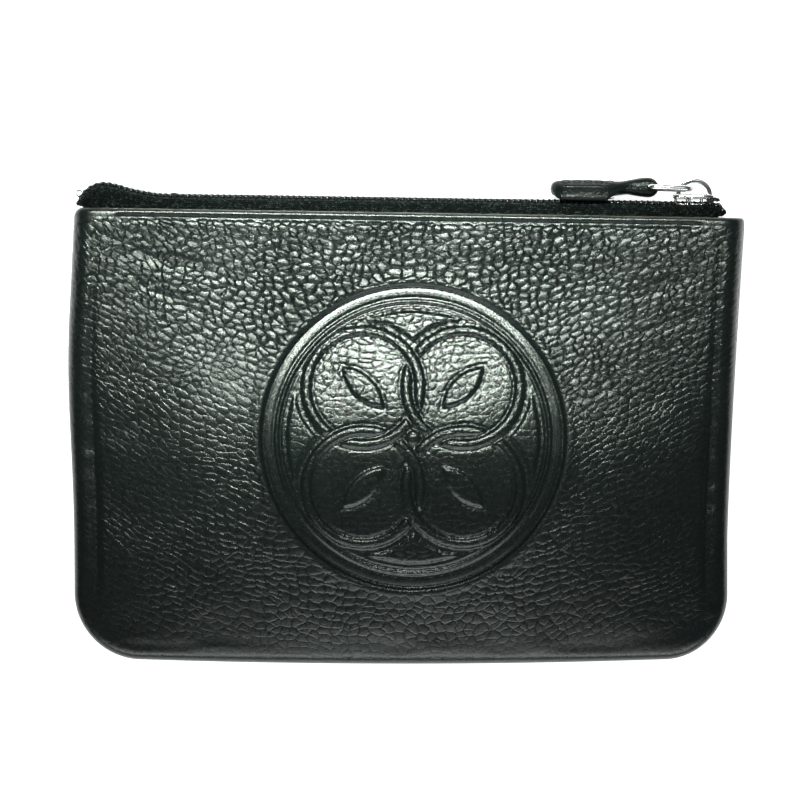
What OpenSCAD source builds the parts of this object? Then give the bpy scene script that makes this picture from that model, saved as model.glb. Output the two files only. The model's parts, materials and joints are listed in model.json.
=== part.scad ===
// Zip-top leather coin purse, lying on its back: X runs along the mouth, Y up to the mouth and Z up
// out of the front face. The origin is on the table under the middle of the body. Millimetres.

/* [Body] */
// Width of the leather body across the mouth
body_w = 134; // [124:1:144]
// Height of the leather body at its middle
body_h = 90; // [84:1:96]
// Radius of the two bottom corners
corner_r = 13; // [12:0.5:17]
// Height of the seam between front and back above the table
seam_z = 5.6; // [5.4:0.1:6.5]
// Height of the front's belly above the seam
belly_h = 9.2; // [7:0.1:12]
// Slope of the mouth, in degrees, falling to the right
mouth_tilt = 0.9; // [0:0.1:1.5]

/* [Leather] */
// Thickness of the leather
leather_t = 1; // [0.8:0.1:1.2]
// Extra thickness of the hem turned in at the mouth
hem_t = 0.8; // [0.6:0.1:0.8]
// Depth of the hem below the mouth's edge
hem_depth = 8; // [6:0.5:10]
// Radius of the rolled edge along the sewn sides
edge_roll = 2.6; // [2.2:0.1:3]
// Width of the seam allowance folded inside the edge
allowance_w = 4.5; // [4:0.1:5]

/* [Lining] */
// Thickness of the lining cloth
lining_t = 0.3; // [0.25:0.05:0.4]
// How far the lining bag lies inside the leather's edge
lining_inset = 5.8; // [5.6:0.1:7]
// How far the lining stops short of the mouth's edge
lining_drop = 1.5; // [1:0.5:3]

/* [Zip] */
// Height of zip tape that shows above the leather
tape_show = 2.1; // [1.9:0.1:2.6]
// Thickness of the woven tape
tape_t = 0.4; // [0.3:0.05:0.45]
// Width of one coil
coil_w = 2.1; // [1.8:0.1:2.1]
// Height of the coil above its tape
coil_h = 1.3; // [1.1:0.1:1.3]

/* [Slider] */
// Length of the slider
slider_l = 8.6; // [8:0.1:8.8]
// Half width of the slider's wide front
slider_front = 2.9; // [2.7:0.1:2.9]
// Half width of the slider's narrow back
slider_back = 2.7; // [2.6:0.1:2.7]
// Left end of the slider when the zip is closed
slider_x = 52.5; // [51:0.1:52.6]
// Outer radius of the bail over the slider
bail_r = 3.6; // [3.4:0.1:3.7]
// Width of the bail's strap
bail_w = 2.4; // [2:0.1:2.6]

/* [Pull] */
// Wire diameter of the loop between slider and tab
wire_d = 1.1; // [0.9:0.05:1.1]
// Length of the loop between the middles of its end bars
loop_l = 8.3; // [8:0.1:9]
// Width of the loop between the middles of its side wires
loop_w = 6.3; // [6:0.1:6.6]
// Length of the leather tab from the loop's bar to its free end
tab_l = 19.6; // [17:0.1:19.8]
// Width of the tab's free end
tab_w = 8; // [7:0.1:9]
// Thickness of the tab at its free end
tab_t = 3.4; // [3.1:0.1:3.5]

/* [Hidden] */

front = 1;
back = -1;
half_w = body_w / 2;
bottom_y = -body_h / 2;
mouth_y = body_h / 2;
slope = tan(mouth_tilt);
seam_gap = 0.2;
flat_h = seam_z - seam_gap + 0.02;
mouth_h = seam_z - seam_gap;
hem_line = body_h - hem_depth - 1;
layer_gap = 0.05;
tape_z = mouth_h + seam_gap - leather_t - hem_t - layer_gap - tape_t / 2;

// The outline of a worn pouch isn't quite a rectangle
bottom_sag = 1.1;
bottom_sag_x = 60;
left_swell = 1.3;
left_swell_y = 15;
left_swell_h = 22;
right_draw = 3.5;
right_draw_from = -20;

// The belly's roundness across and upwards, and how far up it is fullest
belly_round_x = 2.4;
belly_round_y = 2.2;
belly_peak = 0.55;
allowance_dip_h = 0.25;
allowance_dip_w = 1.1;
back_rise_w = 15;
lining_round = 2;
lining_gap = 0.25;

panel_cells = [32, 20];
lining_cells = [24, 15];

// ---- plan of the body -------------------------------------------------------------------------

function clamp01(t) = min(1, max(0, t));
function smooth(t) = let(c = clamp01(t)) c * c * (3 - 2 * c);

// Height of the mouth's edge, and of the bottom seam, at a place across the purse
function mouth_edge(x) = mouth_y - slope * x;
function bottom_edge(x) = bottom_y + bottom_sag * pow(x / bottom_sag_x, 2);

// The left side swells a little above the middle, and the right side draws in towards the bottom
function left_side(y) = half_w - 0.1 + left_swell * exp(-pow((y - left_swell_y) / left_swell_h, 2));
function right_side(y) =
    half_w - right_draw * (1 - pow(clamp01((y - right_draw_from) / (mouth_y - right_draw_from)), 1.25));

// A square grid place, with the two bottom corners drawn in to arcs, in flat body coordinates
function rounded(x, y, w, r) =
    let(a = (abs(x) - (w - r)) / r, b = (r - y) / r)
    a <= 0 || b <= 0 ? [x, y] :
    [sign(x) * (w - r + r * a * sqrt(1 - b * b / 2)), r - r * b * sqrt(1 - a * a / 2)];

// Grid place u = -1..1 and v = 0..1 of an outline drawn in by inset, and short of the mouth by drop
function flat_place(u, v, inset, drop) =
    let(p = rounded(u * (half_w - inset), v * (body_h - inset - drop), half_w - inset, corner_r - inset))
    [p[0], p[1] + inset];

// Flat body coordinates to the real plan
function plan(p) =
    let(y = bottom_edge(p[0]) + p[1] / body_h * (mouth_edge(p[0]) - bottom_edge(p[0])))
    [p[0] / half_w * (p[0] < 0 ? left_side(y) : right_side(y)), y];

// Distance in from the sewn edge
function edge_distance(p) =
    let(a = abs(p[0]) - (half_w - corner_r), b = corner_r - p[1])
    a > 0 && b > 0 ? corner_r - norm([a, b]) : min(half_w - abs(p[0]), p[1]);

// ---- heights above or below the seam ----------------------------------------------------------

function mouth_share(p) = smooth((p[1] / hem_line - 0.5) / 0.5);
function quarter_round(d, r) = r * sqrt(1 - pow(1 - clamp01((d + 0.06) / r), 2));
function belly_share(p) =
    (1 - pow(clamp01(abs(p[0]) / half_w), belly_round_x))
    * (1 - pow(1 - clamp01(p[1] / body_h / belly_peak), belly_round_y));
function allowance_dip(d) = allowance_dip_h * exp(-pow((d - allowance_w) / allowance_dip_w, 2));

function front_height(p) =
    let(m = mouth_share(p), d = edge_distance(p), r = edge_roll + (mouth_h - edge_roll) * m)
    quarter_round(d, r) + (1 - m) * ((belly_h - seam_gap - edge_roll) * belly_share(p) - allowance_dip(d));

function back_height(p) =
    let(m = mouth_share(p), d = edge_distance(p), r = edge_roll + (flat_h - edge_roll) * m)
    quarter_round(d, r) + (flat_h - r) * smooth(d / back_rise_w);

function outer_height(p, side) = side == front ? front_height(p) : back_height(p);
function hem_share(p) = smooth(p[1] - hem_line);

// Inside of the leather: the seam allowance is solid down to the seam, and the hem is double
function inner_height(p, side) =
    max(0, outer_height(p, side) - leather_t - hem_t * hem_share(p))
    * smooth((edge_distance(p) - allowance_w + 0.5) / 1.5);

// The lining lies against the leather, and inside the tape at the hem, down to its own seam
function lining_height(p, side, inward) =
    (inner_height(p, side) - lining_gap - (tape_t + layer_gap) * hem_share(p) - inward)
    * sqrt(1 - pow(1 - clamp01((edge_distance(p) - lining_inset - inward + 0.1) / lining_round), 2));

function placed(p, h, side) = [plan(p)[0], plan(p)[1], seam_z + side * (seam_gap + h)];

// ---- shells from two grids --------------------------------------------------------------------

function grid(cells, f) = [
    for (i = [0 : cells[0]]) for (j = [0 : cells[1]]) f(2 * i / cells[0] - 1, j / cells[1])
];

function rim(cells) =
    let(n = cells[0], m = cells[1])
    concat(
        [for (i = [0 : n - 1]) i * (m + 1)],
        [for (j = [0 : m - 1]) n * (m + 1) + j],
        [for (i = [n : -1 : 1]) i * (m + 1) + m],
        [for (j = [m : -1 : 1]) j]
    );

module shell(cells, outer, inner, side) {
    m = cells[1] + 1;
    step = len(outer);
    edge = rim(cells);
    faces = concat(
        [for (i = [0 : cells[0] - 1]) for (j = [0 : cells[1] - 1]) each let(a = i * m + j)
            [[a, a + 1, a + m + 1], [a, a + m + 1, a + m]]],
        [for (i = [0 : cells[0] - 1]) for (j = [0 : cells[1] - 1]) each let(a = step + i * m + j)
            [[a, a + m + 1, a + 1], [a, a + m, a + m + 1]]],
        [for (k = [0 : len(edge) - 1]) each let(a = edge[k], b = edge[(k + 1) % len(edge)])
            [[a, b, step + b], [a, step + b, step + a]]]
    );
    polyhedron(concat(outer, inner), [for (f = faces) side == front ? f : [f[0], f[2], f[1]]]);
}

module panel(side) {
    wall = function(inside) grid(panel_cells, function(u, v)
        let(p = flat_place(u, v, 0, 0))
        placed(p, inside ? inner_height(p, side) : outer_height(p, side), side));
    shell(panel_cells, wall(false), wall(true), side);
}

module front_panel() {
    color([0.05, 0.06, 0.055]) panel(front);
}

// Trimmed flat where it lies on the table
module back_panel() {
    color([0.05, 0.06, 0.055]) difference() {
        panel(back);
        translate([-body_w, -body_h, -2]) cube([2 * body_w, 2 * body_h, 2]);
    }
}

module lining(side) {
    wall = function(inward) grid(lining_cells, function(u, v)
        let(p = flat_place(u, v, lining_inset + inward, lining_drop))
        placed(p, lining_height(p, side, inward), side));
    shell(lining_cells, wall(0), wall(lining_t), side);
}

module front_lining() {
    color([0.1, 0.1, 0.1]) lining(front);
}

module back_lining() {
    color([0.1, 0.1, 0.1]) lining(back);
}

// ---- stitches ---------------------------------------------------------------------------------

module stitch(length, radius) {
    rotate([0, 90, 0]) cylinder(h = length, r = radius, center = true, $fn = 24);
}

mouth_stitch_pitch = 3.2;
mouth_stitch_l = 2.5;
mouth_stitch_r = 0.2;
mouth_stitch_y = 1.4;
mouth_stitch_reach = 18 * mouth_stitch_pitch;

// On the back they are pulled in flush, so that they don't lift the purse off the table
front_stitch_depth = 0.05;
back_stitch_depth = 0.26;

module mouth_stitches(side, depth) {
    for (x = [-mouth_stitch_reach : mouth_stitch_pitch : mouth_stitch_reach]) {
        p = [x, body_h - mouth_stitch_y];
        translate(placed(p, outer_height(p, side) - depth, side))
            rotate([0, 0, -mouth_tilt]) stitch(mouth_stitch_l, mouth_stitch_r);
    }
}

module front_mouth_stitches() {
    color([0.03, 0.03, 0.03]) mouth_stitches(front, front_stitch_depth);
}

module back_mouth_stitches() {
    color([0.03, 0.03, 0.03]) mouth_stitches(back, back_stitch_depth);
}

seam_top_gap = 4;
seam_stitch_r = 0.15;
stitch_share = 0.7;
edge_seam_d = 1.3;
edge_seam_count = 90;
lining_seam_d = lining_inset + 0.8;
lining_seam_count = 80;

// A place along the sewn U, t from 0 at the mouth on the left to 1 at the mouth on the right
function seam_place(t, d) =
    let(
        r = corner_r - d, side = body_h - corner_r - seam_top_gap, arc = PI * r / 2,
        flat = body_w - 2 * corner_r, s = t * (2 * side + 2 * arc + flat)
    )
    s < side ? [-half_w + d, body_h - seam_top_gap - s] :
    s < side + arc ? let(a = 180 + (s - side) / r * 180 / PI)
        [-half_w + corner_r + r * cos(a), corner_r + r * sin(a)] :
    s < side + arc + flat ? [-half_w + corner_r + s - side - arc, d] :
    s < side + 2 * arc + flat ? let(a = 270 + (s - side - arc - flat) / r * 180 / PI)
        [half_w - corner_r + r * cos(a), corner_r + r * sin(a)] :
    [half_w - d, corner_r + s - side - 2 * arc - flat];

module seam_stitches(d, count) {
    for (k = [0 : count - 1]) {
        a = plan(seam_place((k + (1 - stitch_share) / 2) / count, d));
        b = plan(seam_place((k + (1 + stitch_share) / 2) / count, d));
        middle = (a + b) / 2;
        translate([middle[0], middle[1], seam_z])
            rotate([0, 0, atan2(b[1] - a[1], b[0] - a[0])]) stitch(norm(b - a), seam_stitch_r);
    }
}

module edge_seam_stitches() {
    color([0.03, 0.03, 0.03]) seam_stitches(edge_seam_d, edge_seam_count);
}

module lining_seam_stitches() {
    color([0.03, 0.03, 0.03]) seam_stitches(lining_seam_d, lining_seam_count);
}

// ---- zip --------------------------------------------------------------------------------------

// Line of the tape's face under the coil, and the chain's path as [x, rise above that line]:
// the slack left end humps up before it tucks in at the corner, and the right end turns down
function chain_line(x) = mouth_edge(x) + tape_show;
chain_path = [
    [-65.4, -1.6], [-65.2, -0.9], [-64.6, 0.3], [-63.2, 1.5], [-61.2, 2.1], [-58.5, 1.7], [-56, 1],
    [-52, 0.3], [-48, 0], [56.6, 0], [58.6, 0], [60.6, -0.05], [61.6, -0.4], [62, -1], [62.1, -1.6]
];
chain_n = len(chain_path);
chain = [for (p = chain_path) [p[0], chain_line(p[0]) + p[1]]];

// Unit normal out of the mouth at each place on the path
function chain_normal(i) =
    let(t = chain[min(i + 1, chain_n - 1)] - chain[max(i - 1, 0)]) [-t[1], t[0]] / norm(t);

// The two halves lie side by side, and part at the right end, where the slider has let them go
part_from = 58.6;
part_over = 2.4;
half_gap_closed = 0.1;
half_gap_open = 1.1;
function half_gap(i) =
    half_gap_closed + (half_gap_open - half_gap_closed) * smooth((chain[i][0] - part_from) / part_over);
function end_share(i) = clamp01((abs(chain[i][0]) - 60) / 5);

// Where the tape's lower edge lies: deep inside the hem, but on top of the leather at the corners
tape_reach = 58;
function tape_root(i) =
    let(x = chain[i][0])
    abs(x) < tape_reach ? [x, mouth_edge(x) - hem_depth + 1.5] : [x * 0.985, mouth_edge(x) + 0.15];

// Half sections along the path, as [distance out along the normal, distance from the middle plane]
function section_point(i, q, side) =
    let(c = chain[i] + q[0] * chain_normal(i)) [c[0], c[1], seam_z + side * q[1]];

function bottom_point(i, z, side) =
    let(b = tape_root(i)) [b[0], b[1], seam_z + side * z];

function tape_loop(i, side) =
    let(g = half_gap(i), z = tape_z * (1 - 0.2 * end_share(i)), h = tape_t / 2)
    [
        section_point(i, [-0.02, g], side),
        section_point(i, [-0.02, z - 0.5], side),
        section_point(i, [-0.28, z + h * 0.6], side),
        section_point(i, [-0.75, z + h], side),
        bottom_point(i, z + h, side),
        bottom_point(i, z - h, side),
        section_point(i, [-0.8, z - h], side),
        section_point(i, [-tape_t - 0.06, z - h * 1.6], side),
        section_point(i, [-tape_t, z - 0.6], side),
        section_point(i, [-tape_t, g], side)
    ];

// Closed loops of points joined into a rod, capped at both ends
module rod_of(loops, side) {
    n = len(loops[0]);
    last = (len(loops) - 1) * n;
    faces = concat(
        [for (i = [0 : len(loops) - 2]) for (k = [0 : n - 1]) each
            let(a = i * n + k, b = i * n + (k + 1) % n)
            [[a, a + n, b + n], [a, b + n, b]]],
        [[for (k = [0 : n - 1]) k], [for (k = [n - 1 : -1 : 0]) last + k]]
    );
    polyhedron(
        [for (l = loops) each l],
        [for (f = faces) side == front ? f : [for (k = [len(f) - 1 : -1 : 0]) f[k]]]
    );
}

function box_loop(i, side, low, high, near, far) = [
    section_point(i, [low, half_gap(i) + near], side),
    section_point(i, [high, half_gap(i) + near], side),
    section_point(i, [high, half_gap(i) + far], side),
    section_point(i, [low, half_gap(i) + far], side)
];

module zip_tape(side) {
    rod_of([for (i = [0 : chain_n - 1]) tape_loop(i, side)], side);
}

module front_zip_tape() {
    color([0.04, 0.06, 0.06]) zip_tape(front);
}

module back_zip_tape() {
    color([0.04, 0.06, 0.06]) zip_tape(back);
}

// Four walls round the cord: a coil is hollow, and its turns are too fine to draw one by one here
coil_wall = 0.35;
cord_gap = 0.07;
thread_t = 0.15;

module zip_coil(side) {
    outer = function(i) box_loop(i, side, 0.02, coil_h, 0, coil_w);
    inner = function(i) box_loop(i, side, coil_wall, coil_h - coil_wall, coil_wall, coil_w - coil_wall);
    n = 4;
    points = concat([for (i = [0 : chain_n - 1]) each outer(i)], [for (i = [0 : chain_n - 1]) each inner(i)]);
    shift = chain_n * n;
    last = (chain_n - 1) * n;
    sides = [for (i = [0 : chain_n - 2]) for (k = [0 : n - 1]) each
        let(a = i * n + k, b = i * n + (k + 1) % n)
        [
            [a, a + n, b + n], [a, b + n, b],
            [shift + a, shift + b + n, shift + a + n], [shift + a, shift + b, shift + b + n]
        ]];
    caps = [for (k = [0 : n - 1]) each
        let(b = (k + 1) % n)
        [
            [k, b, shift + b], [k, shift + b, shift + k],
            [last + k, shift + last + b, last + b], [last + k, shift + last + k, shift + last + b]
        ]];
    faces = concat(sides, caps);
    polyhedron(points, [for (f = faces) side == front ? f : [f[0], f[2], f[1]]]);
}

module front_zip_coil() {
    color([0.02, 0.03, 0.03]) zip_coil(front);
}

module back_zip_coil() {
    color([0.02, 0.03, 0.03]) zip_coil(back);
}

cord_side_gap = 0.2;
thread_low = coil_h + 0.02;
thread_near = 0.8;
thread_far = 1.4;

module coil_core(side) {
    low = coil_wall + cord_gap;
    near = coil_wall + cord_side_gap;
    rod_of([for (i = [0 : chain_n - 1]) box_loop(i, side, low, coil_h - low, near, coil_w - near)], side);
}

module front_coil_core() {
    color([0.05, 0.05, 0.05]) coil_core(front);
}

module back_coil_core() {
    color([0.05, 0.05, 0.05]) coil_core(back);
}

module coil_thread(side) {
    high = thread_low + thread_t;
    rod_of([for (i = [0 : chain_n - 1]) box_loop(i, side, thread_low, high, thread_near, thread_far)], side);
}

module front_coil_thread() {
    color([0.03, 0.04, 0.04]) coil_thread(front);
}

module back_coil_thread() {
    color([0.03, 0.04, 0.04]) coil_thread(back);
}

// The left bartack grips the coils from both sides, where the slider stops and the pull passes over
// it. The right one lies across the coils past the slider.
bartack_r = 0.24;
left_bartack_x = -47;
left_bartack_rise = 0.1;
left_bartack_out = 0.4;
right_bartack_x = 61.45;
right_bartack_rise = 0.45;
right_bartack_over = 0.5;

module zip_left_bartack() {
    low = chain_line(left_bartack_x) + left_bartack_rise;
    color([0.02, 0.02, 0.02])
        for (z = [-1, 1])
            translate([left_bartack_x, low, seam_z + z * (coil_w + left_bartack_out)])
                rotate([-90, 0, 0]) cylinder(h = coil_h - left_bartack_rise, r = bartack_r, $fn = 24);
}

module zip_right_bartack() {
    over = chain_line(right_bartack_x) + coil_h + right_bartack_rise;
    color([0.02, 0.02, 0.02])
        translate([right_bartack_x, over, seam_z])
            cylinder(h = 2 * (coil_w + right_bartack_over), r = bartack_r, center = true, $fn = 24);
}

// ---- slider -----------------------------------------------------------------------------------

wing_low = [-tape_t - 1, -tape_t - 0.2];
wing_high = [coil_h + 0.35, coil_h + 1.2];
wing_bevel = 1.2;
flange_low = 0.35;
flange_l = 5.6;
flange_start = 0.5;
flange_gap = 0.25;
joint_overlap = 0.1;
wedge_x = [7.2, 8.4];
wedge_half_w = 0.5;
bail_x = 4.4;
bail_sink = 0.35;
bail_y = wing_high[1] - bail_sink;
bail_t = 0.85;
bail_foot = 0.37;

// Local frame of the slider: X along the chain, Y out of the mouth, Z across, origin at its left end
module at_slider() {
    translate([slider_x, chain_line(slider_x), seam_z]) rotate([0, 0, -mouth_tilt]) children();
}

module wing_plan() {
    polygon([
        [0.5, -slider_back], [slider_l - 1.8, -slider_front], [slider_l - 0.5, -slider_front + 0.4],
        [slider_l, -slider_front + wing_bevel], [slider_l, slider_front - wing_bevel],
        [slider_l - 0.5, slider_front - 0.4], [slider_l - 1.8, slider_front], [0.5, slider_back],
        [0, slider_back - 0.6], [0, 0.6 - slider_back]
    ]);
}

module wing(span) {
    translate([0, span[1], 0]) rotate([90, 0, 0]) linear_extrude(span[1] - span[0]) wing_plan();
}

module slider_body() {
    color([0.75, 0.75, 0.77]) at_slider() {
        wing(wing_low);
        wing(wing_high);
        // flanges that hold the coils in
        for (z = [-1, 1])
            translate([flange_start, flange_low, z > 0 ? coil_w + flange_gap : -slider_back])
                cube([flange_l, wing_high[0] - flange_low + joint_overlap, slider_back - coil_w - flange_gap]);
        // the wedge between the wings, which parts the two coils
        translate([0, wing_high[0] + joint_overlap, 0]) rotate([90, 0, 0])
            linear_extrude(wing_high[0] - wing_low[1] + 2 * joint_overlap)
                polygon([[wedge_x[0], 0], [wedge_x[1], wedge_half_w], [wedge_x[1], -wedge_half_w]]);
    }
}

module slider_bail() {
    color([0.75, 0.75, 0.77]) at_slider()
        translate([bail_x, bail_y, 0]) linear_extrude(bail_w, center = true)
            difference() {
                circle(r = bail_r, $fn = 64);
                circle(r = bail_r - bail_t, $fn = 64);
                translate([-bail_r - 1, -bail_r - 1]) square([2 * bail_r + 2, bail_r + 1 + bail_foot]);
            }
}

// ---- pull -------------------------------------------------------------------------------------

// Middle of the loop's bar inside the bail, and of its bar inside the tab
bail_bar = [56.1, 49.9];
tab_bar = bail_bar + [-loop_l, 0.3];
loop_corner = 0.95;

module loop_bar() {
    cylinder(h = loop_w - 2 * loop_corner, d = wire_d, center = true, $fn = 32);
}

module loop_bend() {
    rotate_extrude(angle = 90, $fn = 64) translate([loop_corner, 0]) circle(d = wire_d, $fn = 32);
}

module pull_loop() {
    lean = atan2(bail_bar[1] - tab_bar[1], bail_bar[0] - tab_bar[0]);
    x_end = loop_l - loop_corner;
    z_end = loop_w / 2 - loop_corner;
    color([0.8, 0.8, 0.82]) translate([tab_bar[0], tab_bar[1], seam_z]) rotate([0, 0, lean]) {
        for (x = [0, loop_l]) translate([x, 0, 0]) loop_bar();
        for (z = [-1, 1]) {
            translate([loop_corner, 0, z * loop_w / 2]) rotate([0, 90, 0])
                cylinder(h = loop_l - 2 * loop_corner, d = wire_d, $fn = 32);
            translate([x_end, 0, z * z_end]) rotate([90, z > 0 ? 0 : 90, 0]) loop_bend();
            translate([loop_corner, 0, z * z_end]) rotate([90, z > 0 ? 270 : 180, 0]) loop_bend();
        }
    }
}

tab_fold_r = 2;
tab_fold_w = 4.3;
tab_top = 1.4;
tab_bore_gap = 0.1;
filler_t = 1;
filler_sink = 0.3;
filler_gap = 0.02;
filler_x = [2.4, tab_l - 1.2];
filler_margin = 0.5;
fold_slit = [0.05, 0.55];

// Side view of the folded strip: the fold round the loop's bar on the right, the free end on the left
module tab_side() {
    circle(r = tab_fold_r, $fn = 48);
    polygon([
        [0, tab_fold_r], [-2.2, 1.8], [-5, 1.3], [-9, tab_top], [-tab_l + 2, tab_top - 0.1],
        [-tab_l + 0.5, tab_top - 0.5], [-tab_l, tab_top - 1.3], [-tab_l, tab_top - tab_t + 0.9],
        [-tab_l + 0.6, tab_top - tab_t + 0.2], [-9, tab_top - tab_t], [-5, -1.8], [-2.2, -1.9],
        [0, -tab_fold_r]
    ]);
}

// Plan of the strip: narrow where it passes through the loop, wide and rounded at its free end
module tab_plan(grow) {
    w = tab_w / 2 + grow;
    f = tab_fold_w / 2 + grow;
    polygon([
        [3, f], [-3.5, f], [-7, w - 0.5], [-10, w], [-tab_l + 3, w], [-tab_l + 1, w - 0.9],
        [-tab_l - grow, w - 2.6], [-tab_l - grow, 2.6 - w], [-tab_l + 1, 0.9 - w], [-tab_l + 3, -w],
        [-10, -w], [-7, 0.5 - w], [-3.5, -f], [3, -f]
    ]);
}

module at_tab() {
    translate([tab_bar[0], tab_bar[1], seam_z]) rotate([0, 0, -mouth_tilt]) children();
}

module filler_slot(grow) {
    translate([-filler_x[1] - grow, -filler_sink - filler_t / 2 - grow])
        square([filler_x[1] - filler_x[0] + 2 * grow, filler_t + 2 * grow]);
}

module pull_tab_leather() {
    color([0.05, 0.06, 0.06]) at_tab() difference() {
        intersection() {
            linear_extrude(tab_w + 2, center = true) tab_side();
            rotate([90, 0, 0]) linear_extrude(4 * tab_t, center = true) tab_plan(0);
        }
        cylinder(h = 2 * tab_w, d = wire_d + tab_bore_gap, center = true, $fn = 32);
        linear_extrude(2 * tab_w, center = true) filler_slot(filler_gap);
        translate([-filler_x[0] - joint_overlap, -fold_slit[1], -tab_w])
            cube([filler_x[0], fold_slit[1] - fold_slit[0], 2 * tab_w]);
    }
}

module pull_tab_filler() {
    color([0.08, 0.08, 0.08]) at_tab() intersection() {
        linear_extrude(tab_w, center = true) filler_slot(0);
        rotate([90, 0, 0]) linear_extrude(4 * tab_t, center = true) tab_plan(-filler_margin);
    }
}

tab_stitch_pitch = 2.2;
tab_stitch_l = 1.6;
tab_stitch_r = 0.18;
tab_stitch_in = 1.2;
tab_stitch_x = [-tab_l + 3, -7];
tab_stitch_y = [tab_top - 0.05, tab_top - tab_t + 0.1];

module pull_tab_stitches() {
    color([0.03, 0.03, 0.03]) at_tab()
        for (z = [-1, 1]) for (x = [tab_stitch_x[0] : tab_stitch_pitch : tab_stitch_x[1]]) for (y = tab_stitch_y)
            translate([x, y, z * (tab_w / 2 - tab_stitch_in)]) stitch(tab_stitch_l, tab_stitch_r);
}

front_panel();
back_panel();
front_lining();
back_lining();
front_mouth_stitches();
back_mouth_stitches();
edge_seam_stitches();
lining_seam_stitches();
front_zip_tape();
back_zip_tape();
front_zip_coil();
back_zip_coil();
front_coil_core();
back_coil_core();
front_coil_thread();
back_coil_thread();
zip_left_bartack();
zip_right_bartack();
slider_body();
slider_bail();
pull_loop();
pull_tab_leather();
pull_tab_filler();
pull_tab_stitches();
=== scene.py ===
import json
import math

import bpy
import numpy as np
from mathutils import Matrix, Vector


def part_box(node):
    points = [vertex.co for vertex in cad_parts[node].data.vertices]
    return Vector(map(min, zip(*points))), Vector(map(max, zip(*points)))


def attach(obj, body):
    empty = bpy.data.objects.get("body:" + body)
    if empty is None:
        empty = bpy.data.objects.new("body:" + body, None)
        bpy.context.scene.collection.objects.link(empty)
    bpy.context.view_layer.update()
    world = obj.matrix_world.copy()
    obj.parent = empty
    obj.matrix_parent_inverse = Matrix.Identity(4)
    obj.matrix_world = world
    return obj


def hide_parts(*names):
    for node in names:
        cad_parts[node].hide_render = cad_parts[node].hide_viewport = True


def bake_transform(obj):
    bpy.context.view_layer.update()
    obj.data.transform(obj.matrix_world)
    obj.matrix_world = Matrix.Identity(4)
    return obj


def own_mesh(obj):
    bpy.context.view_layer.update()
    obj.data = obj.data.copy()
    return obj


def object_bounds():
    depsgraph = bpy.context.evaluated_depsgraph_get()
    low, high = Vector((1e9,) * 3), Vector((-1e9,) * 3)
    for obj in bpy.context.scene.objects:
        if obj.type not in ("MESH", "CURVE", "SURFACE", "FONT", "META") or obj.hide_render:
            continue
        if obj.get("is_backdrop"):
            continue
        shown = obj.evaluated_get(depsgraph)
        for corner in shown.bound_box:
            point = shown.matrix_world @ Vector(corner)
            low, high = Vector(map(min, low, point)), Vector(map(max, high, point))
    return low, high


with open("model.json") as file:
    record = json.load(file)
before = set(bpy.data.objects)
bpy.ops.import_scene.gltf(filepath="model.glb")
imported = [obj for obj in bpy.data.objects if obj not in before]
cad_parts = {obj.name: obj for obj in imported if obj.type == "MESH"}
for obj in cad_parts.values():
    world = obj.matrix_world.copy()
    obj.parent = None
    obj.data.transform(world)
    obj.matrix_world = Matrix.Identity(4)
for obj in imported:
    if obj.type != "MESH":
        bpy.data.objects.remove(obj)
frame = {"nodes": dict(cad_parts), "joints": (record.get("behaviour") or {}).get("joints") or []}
cad_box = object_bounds()

# Everything below is worked out in millimetres, and make() turns it into metres.
MM = 0.001
TAU = 2 * math.pi


def node_box(name):
    """Lowest and highest corner of a CAD node, in millimetres."""
    low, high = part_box(name)
    return np.array(low) / MM, np.array(high) / MM


JOINTS = {j["name"]: j for j in frame["joints"]}
HINGE = np.array(JOINTS["mouth_open"]["pos_m"]) / MM
LOOP_AXIS = np.array(JOINTS["pull_loop_swing"]["pos_m"]) / MM
TAB_AXIS = np.array(JOINTS["pull_tab_swing"]["pos_m"]) / MM
TRAVEL_AXIS = np.array(JOINTS["slider_travel"]["axis"])

# ---- sizes of the body, as the CAD panels have them ----

FRONT, BACK = 1, -1
SIDES = ((FRONT, "front"), (BACK, "back"))
BODY_W, BODY_H = 134.0, 90.0
HALF_W = BODY_W / 2
CORNER_R = 13.0
SEAM_Z = HINGE[2]
SEAM_GAP = 0.2
BELLY_H = 9.2
LEATHER_T, HEM_T, HEM_DEPTH = 1.0, 0.8, 8.0
EDGE_ROLL, ALLOWANCE_W = 2.6, 4.5
ROLL_POWER = 2.7
MOUTH_Y, BOTTOM_Y = BODY_H / 2, HINGE[1]
SLOPE = -TRAVEL_AXIS[1] / TRAVEL_AXIS[0]
MOUTH_H = SEAM_Z - SEAM_GAP
HEM_LINE = BODY_H - HEM_DEPTH - 1
LINING_T, LINING_INSET, LINING_DROP = 0.3, 5.8, 1.5
LAYER_GAP = 0.05
TAPE_T, TAPE_SHOW = 0.4, 2.1
TAPE_Z = MOUTH_H + SEAM_GAP - LEATHER_T - HEM_T - LAYER_GAP - TAPE_T / 2


def clamp01(t):
    return np.clip(t, 0.0, 1.0)


def smooth(t):
    c = clamp01(t)
    return c * c * (3 - 2 * c)


def bell(t):
    return np.exp(-t * t)


# Size of the table that noise is read from, and where in it the origin lies
LATTICE, LATTICE_U, LATTICE_V = 64, 31.3, 29.7


def xyz(x, y, z):
    return np.stack(np.broadcast_arrays(x, y, z), -1)


def lattice_noise(x, y, cell, seed):
    """Smooth noise from -1 to 1 over a lattice of that cell size."""
    table = np.random.default_rng(seed).uniform(-1, 1, (LATTICE, LATTICE))
    u, v = np.asarray(x) / cell + LATTICE_U, np.asarray(y) / cell + LATTICE_V
    i, j = np.floor(u).astype(int), np.floor(v).astype(int)
    a, b = smooth(u - i), smooth(v - j)
    corner = lambda di, dj: table[(i + di) % LATTICE, (j + dj) % LATTICE]
    low = corner(0, 0) * (1 - a) + corner(1, 0) * a
    high = corner(0, 1) * (1 - a) + corner(1, 1) * a
    return low * (1 - b) + high * b


# ---- plan and heights of the two panels ----

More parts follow.
